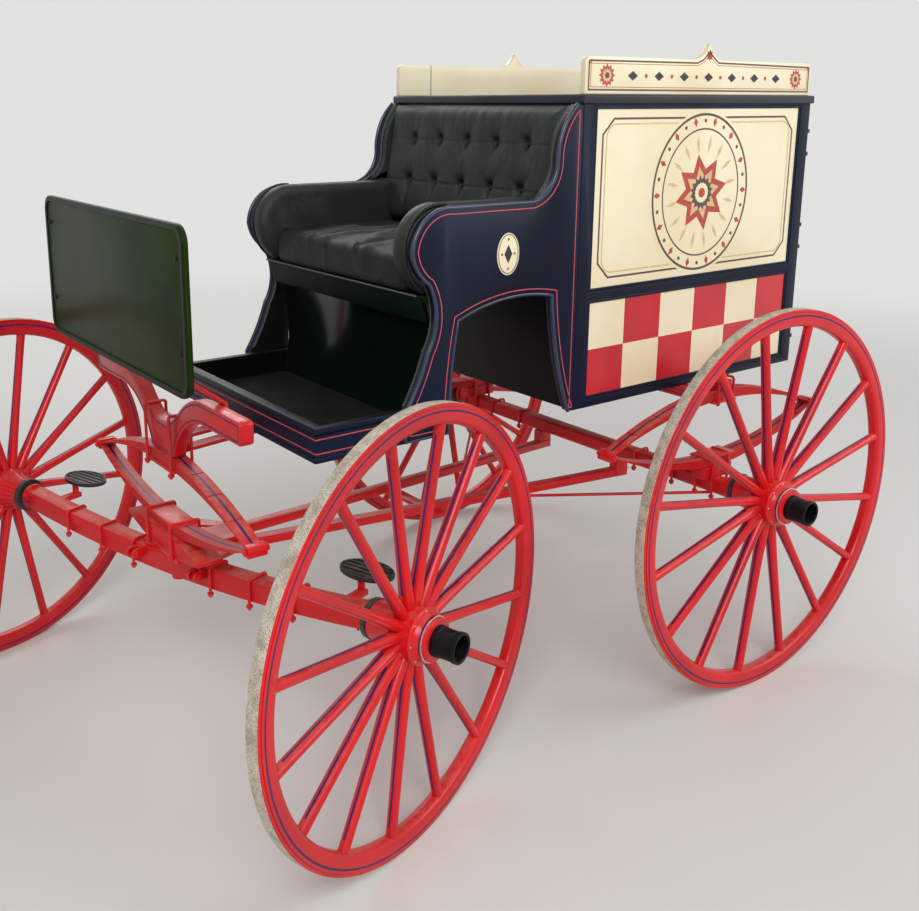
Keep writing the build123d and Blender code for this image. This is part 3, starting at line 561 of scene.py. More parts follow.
def softened(node, offset, angle=30.0, segments=2):
    # a merged copy of a node's mesh with its sharp edges eased
    shape = merged(node)
    bmesh.ops.dissolve_limit(shape, angle_limit=radians(0.4), verts=shape.verts[:], edges=shape.edges[:])
    sharp = [edge for edge in shape.edges if len(edge.link_faces) == 2 and edge.calc_face_angle() > radians(angle)]
    ease(shape, sharp, offset, segments)
    return shape


def dress(node, body, finish, slot, offset):
    # a node in its paint, with eased edges
    onePiece(node + "_painted", body, [finish], slot, softened(node, offset), 0, [node])


# Wheels: built round local Z outward, local X ahead
wheelSettings = {
    "steps": 112,
    "tyreHalf": 0.016,
    "tyreEase": (0.0008, 0.001),  # at the inner edge: in, aside
    "tyreCurve": ((0.0022, 0.0), (0.0006, 0.0014), (0.0, 0.004)),  # in from the tread, in from the side
    "tyreDepth": 0.009,
    "treadDepth": 0.0016,
    "shy": 0.0002,  # keeps the true circle inside the faceted one
    "felloeDepth": 0.040,
    "felloeHalf": 0.018,
    "felloeCurve": ((0.0, 0.006), (0.0015, 0.011), (0.005, 0.0155), (0.011, 0.018)),  # from the inner edge, half
    "felloeEase": 0.0008,
    "felloeLine": (0.0110, 0.0065),  # pinstripe, in from the outer edge
    "spokes": 16,
    "spokeSides": 16,
    "dish": 0.014,
    "spokeLine": (0.088, 0.022),  # pinstripe, from the axle and to the tip
    "spokeTip": 0.004,  # in the felloe
    "hubBolts": 8,
    "boltCircle": 0.0585,
    "boltSize": (0.0036, 0.003),
    "flange": 0.030,
    "hubBands": ((-1.0, -0.102, 4), (0.0438, 0.0488, 1), (0.0488, 0.0518, 2)),  # low, high, finish
    "capScrews": 6,
    "capCircle": (0.0335, 0.066),
    "capScrewSize": (0.0042, 0.0014),
    "sharp": 40.0,
}
spokeStations = [
    # distance from the axle or, from nought down, from the tip, half width, half depth
    (0.048, 0.0112, 0.0190), (0.070, 0.0135, 0.0188), (0.100, 0.0136, 0.0178), (0.150, 0.0124, 0.0160),
    (0.240, 0.0114, 0.0146), (-0.080, 0.0112, 0.0134), (-0.026, 0.0118, 0.0130), (0.0, 0.0126, 0.0130),
]
hubProfile = [
    # radius, height outward
    (0.018, -0.118), (0.0435, -0.118), (0.0465, -0.116), (0.0475, -0.104), (0.0445, -0.102), (0.0450, -0.088),
    (0.0480, -0.062), (0.0540, -0.040), (0.0600, -0.031), (0.0640, -0.030), (0.0655, -0.028), (0.0655, -0.0255),
    (0.0620, -0.0245), (0.0600, -0.010), (0.0600, 0.012), (0.0620, 0.0245), (0.0655, 0.0255), (0.0655, 0.028),
    (0.0640, 0.030), (0.0560, 0.032), (0.0520, 0.038), (0.0500, 0.0435), (0.0510, 0.044), (0.0510, 0.0485),
    (0.0520, 0.049), (0.0520, 0.0515), (0.0500, 0.052), (0.0490, 0.0585), (0.0470, 0.060), (0.018, 0.060),
]
capProfile = [
    (0.0, 0.078), (0.0270, 0.078), (0.0280, 0.080), (0.0280, 0.120), (0.0300, 0.122), (0.0335, 0.122),
    (0.0350, 0.1205), (0.0350, 0.1110), (0.0335, 0.1095), (0.0320, 0.1085), (0.0320, 0.1060), (0.0330, 0.1050),
    (0.0335, 0.0760), (0.0320, 0.0745), (0.0330, 0.0730), (0.0350, 0.0720), (0.0350, 0.0600), (0.0, 0.0600),
]


def mirrored(curve, ends=0):
    # a section made whole: one half, then the other, less the ends that both halves share
    return curve + [(reach, -height) for reach, height in reversed(curve[ends : len(curve) - ends])]


def roundWheel(index, count):
    # one of a count of directions from the axle
    angle = index * 2 * pi / count
    return Vector((cos(angle), sin(angle), 0))


def reachOf(face):
    return face.calc_center_median().xy.length


def makeFelloe(rim, settings):
    inner, half = rim - settings["felloeDepth"], settings["felloeHalf"]
    low, high = (rim - inward for inward in settings["felloeLine"])
    curve = [(inner + out, width) for out, width in settings["felloeCurve"]]
    curve += [(low, half), (high, half), (rim - settings["felloeEase"], half), (rim, half - settings["felloeEase"])]
    felloe = lathe(mirrored(curve), settings["steps"], closed=True)
    for face in felloe.faces:
        onFlat = abs(face.calc_center_median().z) > half * 0.95
        face.material_index = 1 if low < reachOf(face) < high and onFlat else 0
    return felloe


def makeHub(settings):
    hub = lathe(hubProfile, 64, closed=True)
    for face in hub.faces:
        height = face.calc_center_median().z
        face.material_index = next((finish for low, high, finish in settings["hubBands"] if low < height < high), 0)
    return hub


def makeSpoke(tip, settings):
    stations = [(along if along > 0 else tip + along, *halves) for along, *halves in spokeStations]
    spoke = loft(stations, settings["spokeSides"], pi / settings["spokeSides"])
    start, end = settings["spokeLine"]
    for face in spoke.faces:
        striped = abs(face.normal.y) > 0.96 and start < face.calc_center_median().x < tip - end
        face.material_index = 1 if striped else 0
    return spoke


def makeTyre(rim, crown, settings):
    half = settings["tyreHalf"]
    inward, aside = settings["tyreEase"]
    curve = [(rim, 0.0), (rim, half - aside), (rim + inward, half)]
    curve += [(crown - down, half - side) for down, side in settings["tyreCurve"]] + [(crown, 0.0)]
    tyre = lathe(mirrored(curve, 1), settings["steps"], closed=True)
    for face in tyre.faces:
        face.material_index = 0 if reachOf(face) > crown - settings["treadDepth"] else 1
    return tyre


def makeWheel(name, side, settings):
    joint = joints["roll_" + name]
    body = "spin_" + name
    middle, axle = Vector(joint["pos_m"]), Vector(joint["axis"])
    ahead, outward = Vector((axle.y, -axle.x, 0)), axle * side
    lie = Matrix((ahead, outward.cross(ahead), outward)).transposed().to_4x4()
    lie.translation = middle
    rim = middle.z - settings["tyreDepth"]
    wheel = Piece(
        "wheel_wood_" + name, body, [red, navyLine, silver, brass, blackIron], "red_paint", ["wheel_" + name]
    )
    wheel.take(makeFelloe(rim, settings))
    wheel.take(makeHub(settings))
    tip = rim - settings["felloeDepth"] + settings["spokeTip"]
    dish = settings["dish"]
    lean = atan2(dish, tip - spokeStations[0][0])
    for index in range(settings["spokes"]):
        turn = Matrix.Rotation((index + 0.5) * 2 * pi / settings["spokes"], 4, "Z")
        seat = turn @ Matrix.Translation((0, 0, -dish)) @ Matrix.Rotation(-lean, 4, "Y")
        wheel.take(makeSpoke(tip, settings), None, seat)
    for index in range(settings["hubBolts"]):
        for way in (1, -1):
            spot = roundWheel(index, settings["hubBolts"]) * settings["boltCircle"] + up * (way * settings["flange"])
            wheel.take(boltHead(*settings["boltSize"]), 3, aimed(spot, (0, 0, way)))
    bmesh.ops.transform(wheel.bm, matrix=lie, verts=wheel.bm.verts)
    wheel.done(settings["sharp"])

    ring = Piece("tyre_iron_" + name, body, [tread, red], "tyre_steel", ["tyre_" + name])
    ring.take(makeTyre(rim, middle.z - settings["shy"], settings), None, lie)
    ring.done(settings["sharp"])

    cap = Piece("hub_nut_" + name, body, [black, blackIron], "black_paint", ["hub_cap_" + name])
    cap.take(lathe(capProfile, 48), 0)
    reach, height = settings["capCircle"]
    for index in range(settings["capScrews"]):
        out = roundWheel(index + 0.25, settings["capScrews"])
        cap.take(boltHead(*settings["capScrewSize"], 10), 1, aimed(out * reach + up * height, out))
    bmesh.ops.transform(cap.bm, matrix=lie, verts=cap.bm.verts)
    cap.done(settings["sharp"])


for corner in ("front", "rear"):
    for sideName, side in sides:
        makeWheel(f"{corner}_{sideName}", side, wheelSettings)
print("wheels made")


# Flat work: shapes drawn on a plane, X across and Y up as seen from in front of it, then given thickness
def facing(origin, outward):
    outward = Vector(outward)
    across = up.cross(outward)
    lie = Matrix((across, up, outward)).transposed().to_4x4()
    lie.translation = origin
    return lie


def disc(halfWidth, halfHeight, count, place=(0, 0), turn=0.0):
    shape = bmesh.new()
    lie = Matrix.Translation((*place, 0)) @ Matrix.Rotation(turn, 4, "Z")
    lie = lie @ Matrix.Diagonal((halfWidth, halfHeight, 1, 1))
    bmesh.ops.create_circle(shape, cap_ends=True, segments=count, radius=1, matrix=lie)
    return shape


def board(left, right, bottom, top, margin=0.0, corner=0.0, segments=1):
    # a rectangle, less a margin all round, with its corners cut or rounded
    shape = bmesh.new()
    lie = Matrix.Translation(((left + right) / 2, (bottom + top) / 2, 0))
    lie = lie @ Matrix.Diagonal((right - left - 2 * margin, top - bottom - 2 * margin, 1, 1))
    bmesh.ops.create_grid(shape, x_segments=1, y_segments=1, size=0.5, matrix=lie)
    if corner:
        bmesh.ops.bevel(
            shape, geom=shape.verts[:], offset=corner, affect="VERTICES", segments=segments, profile=0.5, material=-1
        )
    return shape


def star(radius, points, waist, place, turn):
    # a rosette: a circle with every other corner drawn in
    shape = disc(radius, radius, points * 2)
    for index, vert in enumerate(shape.verts):
        if index % 2:
            vert.co *= waist
    bmesh.ops.transform(
        shape, matrix=Matrix.Translation((*place, 0)) @ Matrix.Rotation(turn, 4, "Z"), verts=shape.verts
    )
    return shape


# Running gear: timbers and irons in red with eased edges
gearSettings = {
    "root": (
        # node, edge easing
        ("rear_axle", 0.002), ("fifth_wheel_upper", 0.0015), ("front_bar", 0.006),
        ("reach_left", 0.002), ("reach_right", 0.002), ("reach_cross", 0.0015), ("stay_rods", 0.0005),
        ("rear_bar", 0.002), ("body_irons", 0.0015), ("dash_irons", 0.0015), ("kingpin", 0.001),
    ),
    "front_gear": (("front_axle", 0.003), ("fifth_wheel_lower", 0.0015), ("shaft_couplings", 0.0015)),
}
for body, rows in gearSettings.items():
    for node, easing in rows:
        dress(node, body, redDusty if node.endswith("axle") else red, "red_paint", easing)

leftAxle = Vector(joints["roll_front_left"]["axis"])
gearLie = Matrix((leftAxle.cross(up), leftAxle, up)).transposed().to_4x4()
gearLie.translation = (kingX, 0, 0)
gearAhead = leftAxle.cross(up)


# Bolster: its ends drawn down to thin tips, and its foot raised towards them
bolsterSettings = {"easing": 0.003, "fullHalf": 0.085, "tipShare": 0.42, "footStart": 0.015, "footRise": 0.024}


def cutBoth(shape, half):
    # two lengthwise cuts, at equal distances from the middle
    for hand in (1, -1):
        cut(shape, (0, hand * half, 0), (0, 1, 0))


def makeBolster(settings):
    low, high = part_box("bolster")
    full = settings["fullHalf"]
    foot = full + settings["footStart"]
    shape = softened("bolster", settings["easing"])
    cutBoth(shape, full)
    for vert in shape.verts:
        run = max(0.0, (abs(vert.co.y) - full) / (high.y - full))
        base = low.z + settings["footRise"] * max(0.0, (abs(vert.co.y) - foot) / (high.y - foot))
        vert.co.z = base + (vert.co.z - base) * (1 - run * (1 - settings["tipShare"]))
    onePiece("bolster_painted", "root", [redDusty], "red_paint", shape, 0, ["bolster"])


makeBolster(bolsterSettings)


# Springs: each leaf bent along its own arc, thinned and rounded off towards its tips
springSettings = {
    "leaves": 4,
    "thickness": 0.007,
    "width": 0.044,
    "easing": 0.0011,
    "shortening": 0.22,
    "eye": 0.012,
    "tip": 0.085,
    "tipWidth": 0.93,
    "tipDepth": 0.22,
    "cuts": 40,
    "line": 0.0075,
}


def springLeaf(length, settings):
    thickness = settings["thickness"]
    shape = block((length, settings["width"], thickness), (0, 0, thickness / 2), settings["easing"])
    along = [edge for edge in shape.edges if abs(edge.verts[0].co.x - edge.verts[1].co.x) > length / 2]
    bmesh.ops.subdivide_edges(shape, edges=along, cuts=settings["cuts"], use_grid_fill=True)
    cutBoth(shape, settings["line"] / 2)
    width, depth = settings["tipWidth"], settings["tipDepth"]
    for vert in shape.verts:
        vert.co.x = length / 2 * sin(pi * vert.co.x / length)
        gap = max(0.0, min(1.0, (length / 2 - abs(vert.co.x)) / settings["tip"]))
        vert.co.y *= width + (1 - width) * sqrt(gap)
        vert.co.z *= depth + (1 - depth) * gap
    return shape


def makeSpring(node, axis, settings):
    low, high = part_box(node)
    span = (high[axis] - low[axis]) / 2 - settings["eye"]
    rise = (high.z - low.z) / 2 - settings["leaves"] * settings["thickness"]
    inner = (span**2 + rise**2) / (2 * rise)
    lie = Matrix.Translation((low + high) / 2) @ Matrix.Rotation(axis * pi / 2, 4, "Z")
    spring = Piece(node + "_leaves", "root", [redDusty, navyLine], "red_paint", [node])
    for half, flip in ((1, 0), (-1, pi)):
        for index in range(settings["leaves"]):
            near = inner + index * settings["thickness"]
            leaf = springLeaf(2 * near * asin(span * (1 - index * settings["shortening"]) / inner), settings)
            leaf.normal_update()
            for face in leaf.faces:
                inLine = abs(face.calc_center_median().y) < settings["line"] * 0.4
                face.material_index = 1 if inLine and face.normal.z * half > 0.9 else 0
            for vert in leaf.verts:
                angle, reach = vert.co.x / near, near + vert.co.z
                vert.co.x, vert.co.z = reach * sin(angle), reach * cos(angle) + rise - inner
            spring.take(leaf, None, lie @ Matrix.Rotation(flip, 4, "X"))
    for end in (span, -span):
        width = settings["width"] / 2
        spring.take(rod((end, -width, 0), (end, width, 0), settings["eye"], 20), 0, lie)
    spring.done(40)


for node, axis in (("front_spring", 1), ("rear_spring_left", 0), ("rear_spring_right", 0)):
    makeSpring(node, axis, springSettings)


# Painted lines that follow the outline of a timber's flat faces
lineSettings = {"margin": 0.0085, "width": 0.0032}


def lineGear(name, body, rows, settings):
    lines = Piece(name, body, [navyLine], "red_paint")
    for node, ahead in rows:
        for way in (Vector(ahead), -Vector(ahead)):
            lines.take(ringOf(flatFace(node, way), settings["margin"], settings["width"], way), 0)
    lines.done()


lineGear("gear_lines", "root", (("front_bar", (1, 0, 0)), ("rear_bar", (1, 0, 0))), lineSettings)
lineGear("gear_lines_turned", "front_gear", (("front_axle", gearAhead),), lineSettings)


# Clips: bolts bent over a timber, with nuts on the ends of both legs
clipSettings = {
    "radius": 0.0042,
    "bend": 1.8,  # in radii
    "steps": 4,
    "feet": ((0.012, 0.00882, 0.0015), (0.0105, 0.00798, 0.00672)),  # over the end, radius, height
    # lift of the top, half width, leg; the axle's own depth comes on top of its last one
    "barClip": (0.112, 0.0285, 0.160),
    "bolsterClip": (0.036, 0.0400, 0.094),
    "rearBarClip": (0.004, 0.0300, 0.076),
    "rearSpringClip": (0.034, 0.0300, 0.132),
    "rearAxleClip": (0.5662, 0.0300, 0.064),
    "axleClip": (0.004, 0.0300, 0.022),
    "frontPair": 0.074,
    "rearPair": 0.033,
    "axlePlaces": (-0.42, -0.28, -0.145, 0.145, 0.28, 0.42),
    "rearAxlePlaces": (-0.42, -0.27, 0.27, 0.42),
    "axleHalf": 0.612,
    "axleTop": (0.4985, 0.0385),  # in the middle, and how far it rises to the ends
    "axleFoot": (0.443, 0.042),
    "eyeBlock": (0.050, 0.022, 0.028),  # along the pin, across it, up
    "eyeEasing": 0.003,
    "eyeInset": 0.012,
    "eyeBolt": (0.0045, 0.009),
    "eyeNut": (0.0085, 0.006),
    "eyeReach": 0.026,
    "plateLift": 0.0305,
    "plates": ((0.066, 0.17, 0.006), (0.060, 0.17, 0.006)),
    "rearPlates": ((0.13, 0.064, 0.006), (0.10, 0.064, 0.006)),
    "sharp": 40,
}
stepSettings = {
    "place": (-0.118, 0.528),  # in the turned front gear
    "half": (0.048, 0.075),
    "rib": (0.006, 0.0036),
    "ribLift": 0.0008,
    "ribEasing": 0.0012,
    "spacing": 0.0165,
    "rim": (0.0008, 0.0045, 0.0005, 0.0026),  # margin, width, sunk, proud
    "clear": 0.009,
}
couplingSettings = {"place": (0.055, 0.115, 0.4865), "half": 0.016, "nut": (0.0092, 0.006)}


def clipShape(place, across, sizes, settings):
    lift, halfWidth, depth = sizes
    top, across = Vector((place[0], place[1], place[2] + lift)), Vector(across).normalized()
    radius, steps = settings["radius"], settings["steps"]
    bend = radius * settings["bend"]
    run = [top + across * halfWidth - up * depth]
    for hand, order in ((1, range(steps + 1)), (-1, range(steps, -1, -1))):
        for step in order:
            angle = step * pi / 2 / steps
            reach = halfWidth - bend + bend * cos(angle)
            run.append(top + across * (hand * reach) + up * (bend * sin(angle) - bend))
    run.append(top - across * halfWidth - up * depth)
    shape = tube(run, radius, 2)
    for end in (run[0], run[-1]):
        for lift, reach, height in settings["feet"]:
            foot = nut(reach, height)
            bmesh.ops.transform(foot, matrix=aimed(end + up * lift, (0, 0, -1)), verts=foot.verts)
            pour(shape, foot)
    return shape


def boltEye(clips, eye, pin, settings):
    # a block over a spring's eye, with a bolt's end and a nut at both ends of its pin
    long, wide, high = settings["eyeBlock"]
    clips.take(block((long, wide, high) if pin.x else (wide, long, high), eye, settings["eyeEasing"]), 0)
    for out in (pin, -pin):
        spot = eye + out * settings["eyeReach"]
        clips.take(nut(*settings["eyeNut"]), 1, aimed(spot, out))
        clips.take(boltHead(*settings["eyeBolt"]), 1, aimed(spot, out))


def clipBody(settings):
    clips = Piece("spring_clips", "root", [red, redBright], "red_paint")
    ahead, leftward = Vector((1, 0, 0)), Vector((0, 1, 0))
    spring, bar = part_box("front_spring"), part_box("front_bar")
    x, inward, lift = (spring[0].x + spring[1].x) / 2, settings["eyeInset"], settings["plateLift"]
    for _, side in sides:
        y = side * settings["frontPair"]
        clips.take(clipShape((x, y, bar[0].z), ahead, settings["barClip"], settings), 0)
        clips.take(clipShape((x, y, spring[0].z), ahead, settings["bolsterClip"], settings), 0)
        eye = Vector((x, side * (spring[1].y - inward), (spring[0].z + spring[1].z) / 2))
        boltEye(clips, eye, ahead, settings)
    for size, z in zip(settings["plates"], (spring[0].z + lift, bar[0].z - lift)):
        clips.take(block(size, (x, 0, z)), 0)
    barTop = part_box("rear_bar")[1].z
    for sideName, _ in sides:
        low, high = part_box("rear_spring_" + sideName)
        y = (low.y + high.y) / 2
        for hand in (1, -1):
            x = rearAxleX + hand * settings["rearPair"]
            clips.take(clipShape((x, y, barTop), leftward, settings["rearBarClip"], settings), 0)
            clips.take(clipShape((x, y, low.z), leftward, settings["rearSpringClip"], settings), 0)
            eye = Vector((rearAxleX + hand * (high.x - rearAxleX - inward), y, (low.z + high.z) / 2))
            boltEye(clips, eye, leftward, settings)
        for size, z in zip(settings["rearPlates"], (low.z + lift, high.z - lift)):
            clips.take(block(size, (rearAxleX, y, z)), 0)
    for y in settings["rearAxlePlaces"]:
        clips.take(clipShape((rearAxleX, y, 0), ahead, settings["rearAxleClip"], settings), 0)
    clips.done(settings["sharp"])


def addSteps(turned, settings):
    # the ribs and the rim on top of both step plates
    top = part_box("step_plates")[1].z
    x, y = settings["place"]
    halfX, halfY = settings["half"]
    width, height = settings["rib"]
    margin, line, sink, proud = settings["rim"]
    for _, side in sides:
        for index in range(-2, 3):
            offset = index * settings["spacing"]
            length = 2 * (halfY * sqrt(1 - (offset / halfX) ** 2) - settings["clear"])
            place = (x + offset, side * y, top + settings["ribLift"])
            turned.take(block((width, length, height), place, settings["ribEasing"]), 2, gearLie)
        rim = ringOf(disc(halfX, halfY, 48), margin, line, up, sink, proud)
        turned.take(rim, 2, gearLie @ Matrix.Translation((x, side * y, top)))


def clipGear(settings):
    turned = Piece("axle_clips", "front_gear", [red, redBright, blackIron], "red_paint")
    (top, topRise), (foot, footRise) = settings["axleTop"], settings["axleFoot"]
    lift, half, spare = settings["axleClip"]
    for y in settings["axlePlaces"]:
        share = (y / settings["axleHalf"]) ** 2
        crest = top + topRise * share
        sizes = (lift, half, crest - (foot + footRise * share) + spare)
        turned.take(clipShape(gearLie @ Vector((0, y, crest)), gearAhead, sizes, settings), 0)
    addSteps(turned, stepSettings)
    x, y, z = couplingSettings["place"]
    for _, side in sides:
        for hand in (1, -1):
            spot = gearLie @ Vector((x, side * y + hand * couplingSettings["half"], z))
            turned.take(nut(*couplingSettings["nut"]), 1, aimed(spot, leftAxle * hand))
    turned.done(settings["sharp"])


clipBody(clipSettings)
clipGear(clipSettings)
print("running gear made")


# Box sides: rails in navy, a cream panel with a framed ornament over two rows of checks
boxSettings = {
    "easing": 0.0012,
    "stile": 0.046,
    "recess": 0.006,
    "sink": 0.0005,
    "checks": (0.024, 0.301),  # heights over the bottom of the box
    "upper": (0.326, 0.818),
    "moulding": (0.008, 0.0042, 0.0018),  # width, height, rounding
    "panelProud": 0.0008,
    "columns": 6,
    "checkProud": (0.0007, 0.0005),  # red, cream
    "lines": ((0.030, 0.0055, 0.043, 3, 1), (0.045, 0.0038, 0.040, 4, 8)),  # margin, width, corner, finish, steps
    "lineProud": 0.0013,
    "rings": ((0.212, 0.226, 0.0070), (0.170, 0.184, 0.0045)),  # half width, half height, line width
    "ground": (0.008, 0.00135),  # beyond the outer ring, height
    "markProud": 0.0018,
    "lozenges": 28,
    "lozenge": (0.0085, 0.0135),
    "dot": 0.0055,
    "rays": 16,
    "rayOval": (0.128, 0.140),
    "ray": (0.0060, 0.026),
    "rosette": (
        # radius, points, waist, finish, height
        (0.112, 8, 0.62, 5, 0.0019), (0.078, 8, 0.60, 4, 0.0023), (0.050, 16, 0.78, 3, 0.0027),
        (0.030, 16, 0.90, 0, 0.0031), (0.014, 12, 1.0, 5, 0.0035),
    ),
}


def roundOval(centre, halves, index, count):
    # a place on an oval and its angle, counted from the top
    angle = index * 2 * pi / count
    return (centre[0] + halves[0] * sin(angle), centre[1] + halves[1] * cos(angle)), angle


def dressBox(name, side, settings):
    low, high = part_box("box_side_" + name)
    outer = high.y if side > 0 else low.y
    lie = facing(((low.x + high.x) / 2, outer - side * settings["recess"], low.z), (0, side, 0))
    half = (high.x - low.x) / 2 - settings["stile"]
    checkLow, checkHigh = settings["checks"]
    upper, sink = settings["upper"], settings["sink"]
    centre = (0, sum(upper) / 2)
    dress("box_side_" + name, "root", navy, "navy_paint", settings["easing"])
    mould = Piece("box_moulding_" + name, "root", [navy], "navy_paint")
    width, proud, rounding = settings["moulding"]
    for bottom, top in (settings["checks"], upper):
        ring = ringOf(board(-half, half, bottom, top), 0, width, up, sink, proud)
        easeTop(ring, up, rounding)
        mould.take(ring, 0, lie)
    mould.done()

    finishes = [cream, checkCream, checkRed, brownLine, tanLine, brickLine, inkLine]
    paint = Piece("box_panel_" + name, "root", finishes, "cream_paint")
    paint.lay(board(-half, half, *upper), 0, lie, settings["panelProud"], sink)
    width, height = 2 * half / settings["columns"], (checkHigh - checkLow) / 2
    for column in range(settings["columns"]):
        fromFront = column if side > 0 else settings["columns"] - 1 - column
        for row in range(2):
            odd = (fromFront + row) % 2
            left, bottom = -half + column * width, checkLow + row * height
            square = board(left, left + width, bottom, bottom + height)
            paint.lay(square, 2 - odd, lie, settings["checkProud"][odd], sink)
    for margin, width, corner, finish, steps in settings["lines"]:
        outline = board(-half, half, *upper, margin, corner, steps)
        paint.lineRound(outline, width, finish, lie, settings["lineProud"])
    spare, height = settings["ground"]
    halfWidth, halfHeight, _ = settings["rings"][0]
    paint.lay(disc(halfWidth + spare, halfHeight + spare, 96, centre), 0, lie, height)
    proud, dot = settings["markProud"], settings["dot"]
    for halfWidth, halfHeight, width in settings["rings"]:
        paint.lineRound(disc(halfWidth, halfHeight, 96, centre), width, 3, lie, proud)
    between = [(wide + narrow) / 2 for wide, narrow in zip(*settings["rings"])]
    for index in range(settings["lozenges"]):
        spot, angle = roundOval(centre, between, index, settings["lozenges"])
        mark = disc(*settings["lozenge"], 4, spot, -angle) if index % 2 else disc(dot, dot, 14, spot)
        paint.lay(mark, 5 if index % 2 else 3, lie, proud)
    for index in range(settings["rays"]):
        spot, angle = roundOval(centre, settings["rayOval"], index + 0.5, settings["rays"])
        paint.lay(disc(*settings["ray"], 4, spot, -angle), 4, lie, proud)
    paint.rosette(settings["rosette"], lie, centre, pi / 16)
    paint.done()


onBothSides(dressBox, boxSettings)
print("box sides made")


# Sign boards: cream, bordered along the outline, with rosettes, lozenges and dots in place of lettering
signSettings = {
    "easing": 0.0022,
    "lines": ((0.009, 0.0045, 0), (0.0175, 0.0016, 1)),  # margin, width, finish
    "lineProud": 0.0005,
    "joint": (0.0022, 0.0010, 0.094),
    "jointFromEnd": 0.125,
    "row": 0.048,  # height of its middle
    "rosette": ((0.030, 12, 0.72, 1, 0.0005), (0.019, 12, 0.70, 2, 0.0008), (0.008, 12, 1.0, 0, 0.0011)),
    "rosetteFromEnd": 0.078,
    "marks": 13,
    "spacing": 0.052,
    "lozenge": (0.019, 0.0125),
    "dot": 0.0055,
    "peakStar": ((0.016, 8, 0.6, 1, 0.0005),),
    "peakHeight": 0.108,
}


def dressSign(name, side, settings):
    node, way = "sign_board_" + name, (0, side, 0)
    low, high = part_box(node)
    outer, inner = (high.y, low.y) if side > 0 else (low.y, high.y)
    sink, proud, dot = shapeSettings["sink"], settings["lineProud"], settings["dot"]
    dress(node, "root", cream, "cream_paint", settings["easing"])
    paint = Piece("sign_lines_" + name, "root", [brownLine, brickLine, tanLine, inkLine], "cream_paint")
    for margin, width, finish in settings["lines"]:
        face = flatFace(node, way)
        bmesh.ops.dissolve_limit(face, angle_limit=radians(16), verts=face.verts[:], edges=face.edges[:])
        paint.take(ringOf(face, margin, width, way, sink, proud), finish)
    row = settings["row"]
    paint.take(block(settings["joint"], (high.x - settings["jointFromEnd"], inner, low.z + row), 0), 3)
    lie = facing(((low.x + high.x) / 2, outer, low.z), way)
    end = (high.x - low.x) / 2 - settings["rosetteFromEnd"]
    for across in (-end, end):
        paint.rosette(settings["rosette"], lie, (across, row), sink=sink)
    for index in range(settings["marks"]):
        spot = ((index - (settings["marks"] - 1) / 2) * settings["spacing"], row)
        mark = disc(dot, dot, 16, spot) if index % 2 else disc(*settings["lozenge"], 4, spot)
        paint.lay(mark, 1 if index % 2 else 3, lie, proud, sink)
    paint.rosette(settings["peakStar"], lie, (0, settings["peakHeight"]), sink=sink)
    paint.done()


onBothSides(dressSign, signSettings)
print("sign boards made")


# Seat ends: navy, a rose line inside the outline, a half-round bead along the open edges and a badge
endSettings = {
    "easing": 0.003,
    "line": (0.013, 0.0026),
    "bead": 0.0055,
    "beadClear": 0.004,  # of the panel's back edge, and in from its face
    "badge": (0.714, 1.266),
    "badgeHalf": (0.0365, 0.0535),
    "badgeProud": 0.0016,
    "badgeLine": (0.003, 0.0022),  # margin, width
    "markProud": 0.0020,
    "diamond": (0.013, 0.024),
    "dot": 0.0034,
    "dots": ((0, 0.037), (0, -0.037), (0.021, 0), (-0.021, 0)),
}


def dressSeatEnd(name, side, settings):
    node, way = "side_panel_" + name, Vector((0, side, 0))
    low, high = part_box(node)
    shape = softened(node, settings["easing"])
    shape.normal_update()
    for face in shape.faces:
        face.material_index = 1 if face.normal.y * side < -0.9 else 0
    onePiece(node + "_painted", "root", [navy, black], "navy_paint", shape, None, [node])
    line = ringOf(flatFace(node, way), *settings["line"], way)
    onePiece("seat_end_line_" + name, "root", [roseLine], "navy_paint", line, 0)

    outline, clear = loopOf(flatFace(node, way)), settings["beadClear"]
    ahead = [point.x > low.x + clear for point in outline]
    start = next(index for index in range(len(outline)) if ahead[index] and not ahead[index - 1])
    run = [point - way * clear for point in outline[start:] + outline[:start] if point.x > low.x + clear]
    # the half-round bead in lightened navy, a painted highlight
    bead = tube(run, settings["bead"], 3)
    onePiece("seat_end_bead_" + name, "root", [navyBeadPaintedHighlight], "navy_paint", bead, 0, smooth=60)

    x, z = settings["badge"]
    lie = facing((rearAxleX + x, high.y if side > 0 else low.y, z), way)
    halfWidth, halfHeight = settings["badgeHalf"]
    margin, width = settings["badgeLine"]
    proud, dot = settings["markProud"], settings["dot"]
    badge = Piece("badge_" + name, "root", [cream, brownLine, inkLine, brickLine], "cream_paint")
    badge.lay(disc(halfWidth, halfHeight, 56), 0, lie, settings["badgeProud"], shapeSettings["sink"])
    badge.lineRound(disc(halfWidth - margin, halfHeight - margin, 56), width, 1, lie, proud)
    badge.lay(disc(*settings["diamond"], 4), 2, lie, proud)
    for spot in settings["dots"]:
        badge.lay(disc(dot, dot, 12, spot), 3, lie, proud)
    badge.done()


onBothSides(dressSeatEnd, endSettings)


# Wing linings: padded leather inside the seat ends from the arms up, and beaded edging down inside the pillars
wingSettings = {
    "corner": (-0.205, 1.372),  # front and foot of the lining
    "margin": 0.004,
    "sink": 0.001,
    "depth": 0.018,
    "round": 0.008,
    "bead": (0.0036, 0.0070),  # radius, spacing
    "beadBack": 0.003,
    "beadProud": 0.001,
    "edges": ((0.905, 1.225, 0.085), (1.41, 1.63, -0.352)),  # lowest and highest point, furthest back
}


def evenly(points, step):
    # places at equal steps along a line of points
    places, left = [], 0.0
    for start, end in zip(points, points[1:]):
        length = (end - start).length
        while left < length:
            places.append(start.lerp(end, left / length))
            left += step
        left -= length
    return places


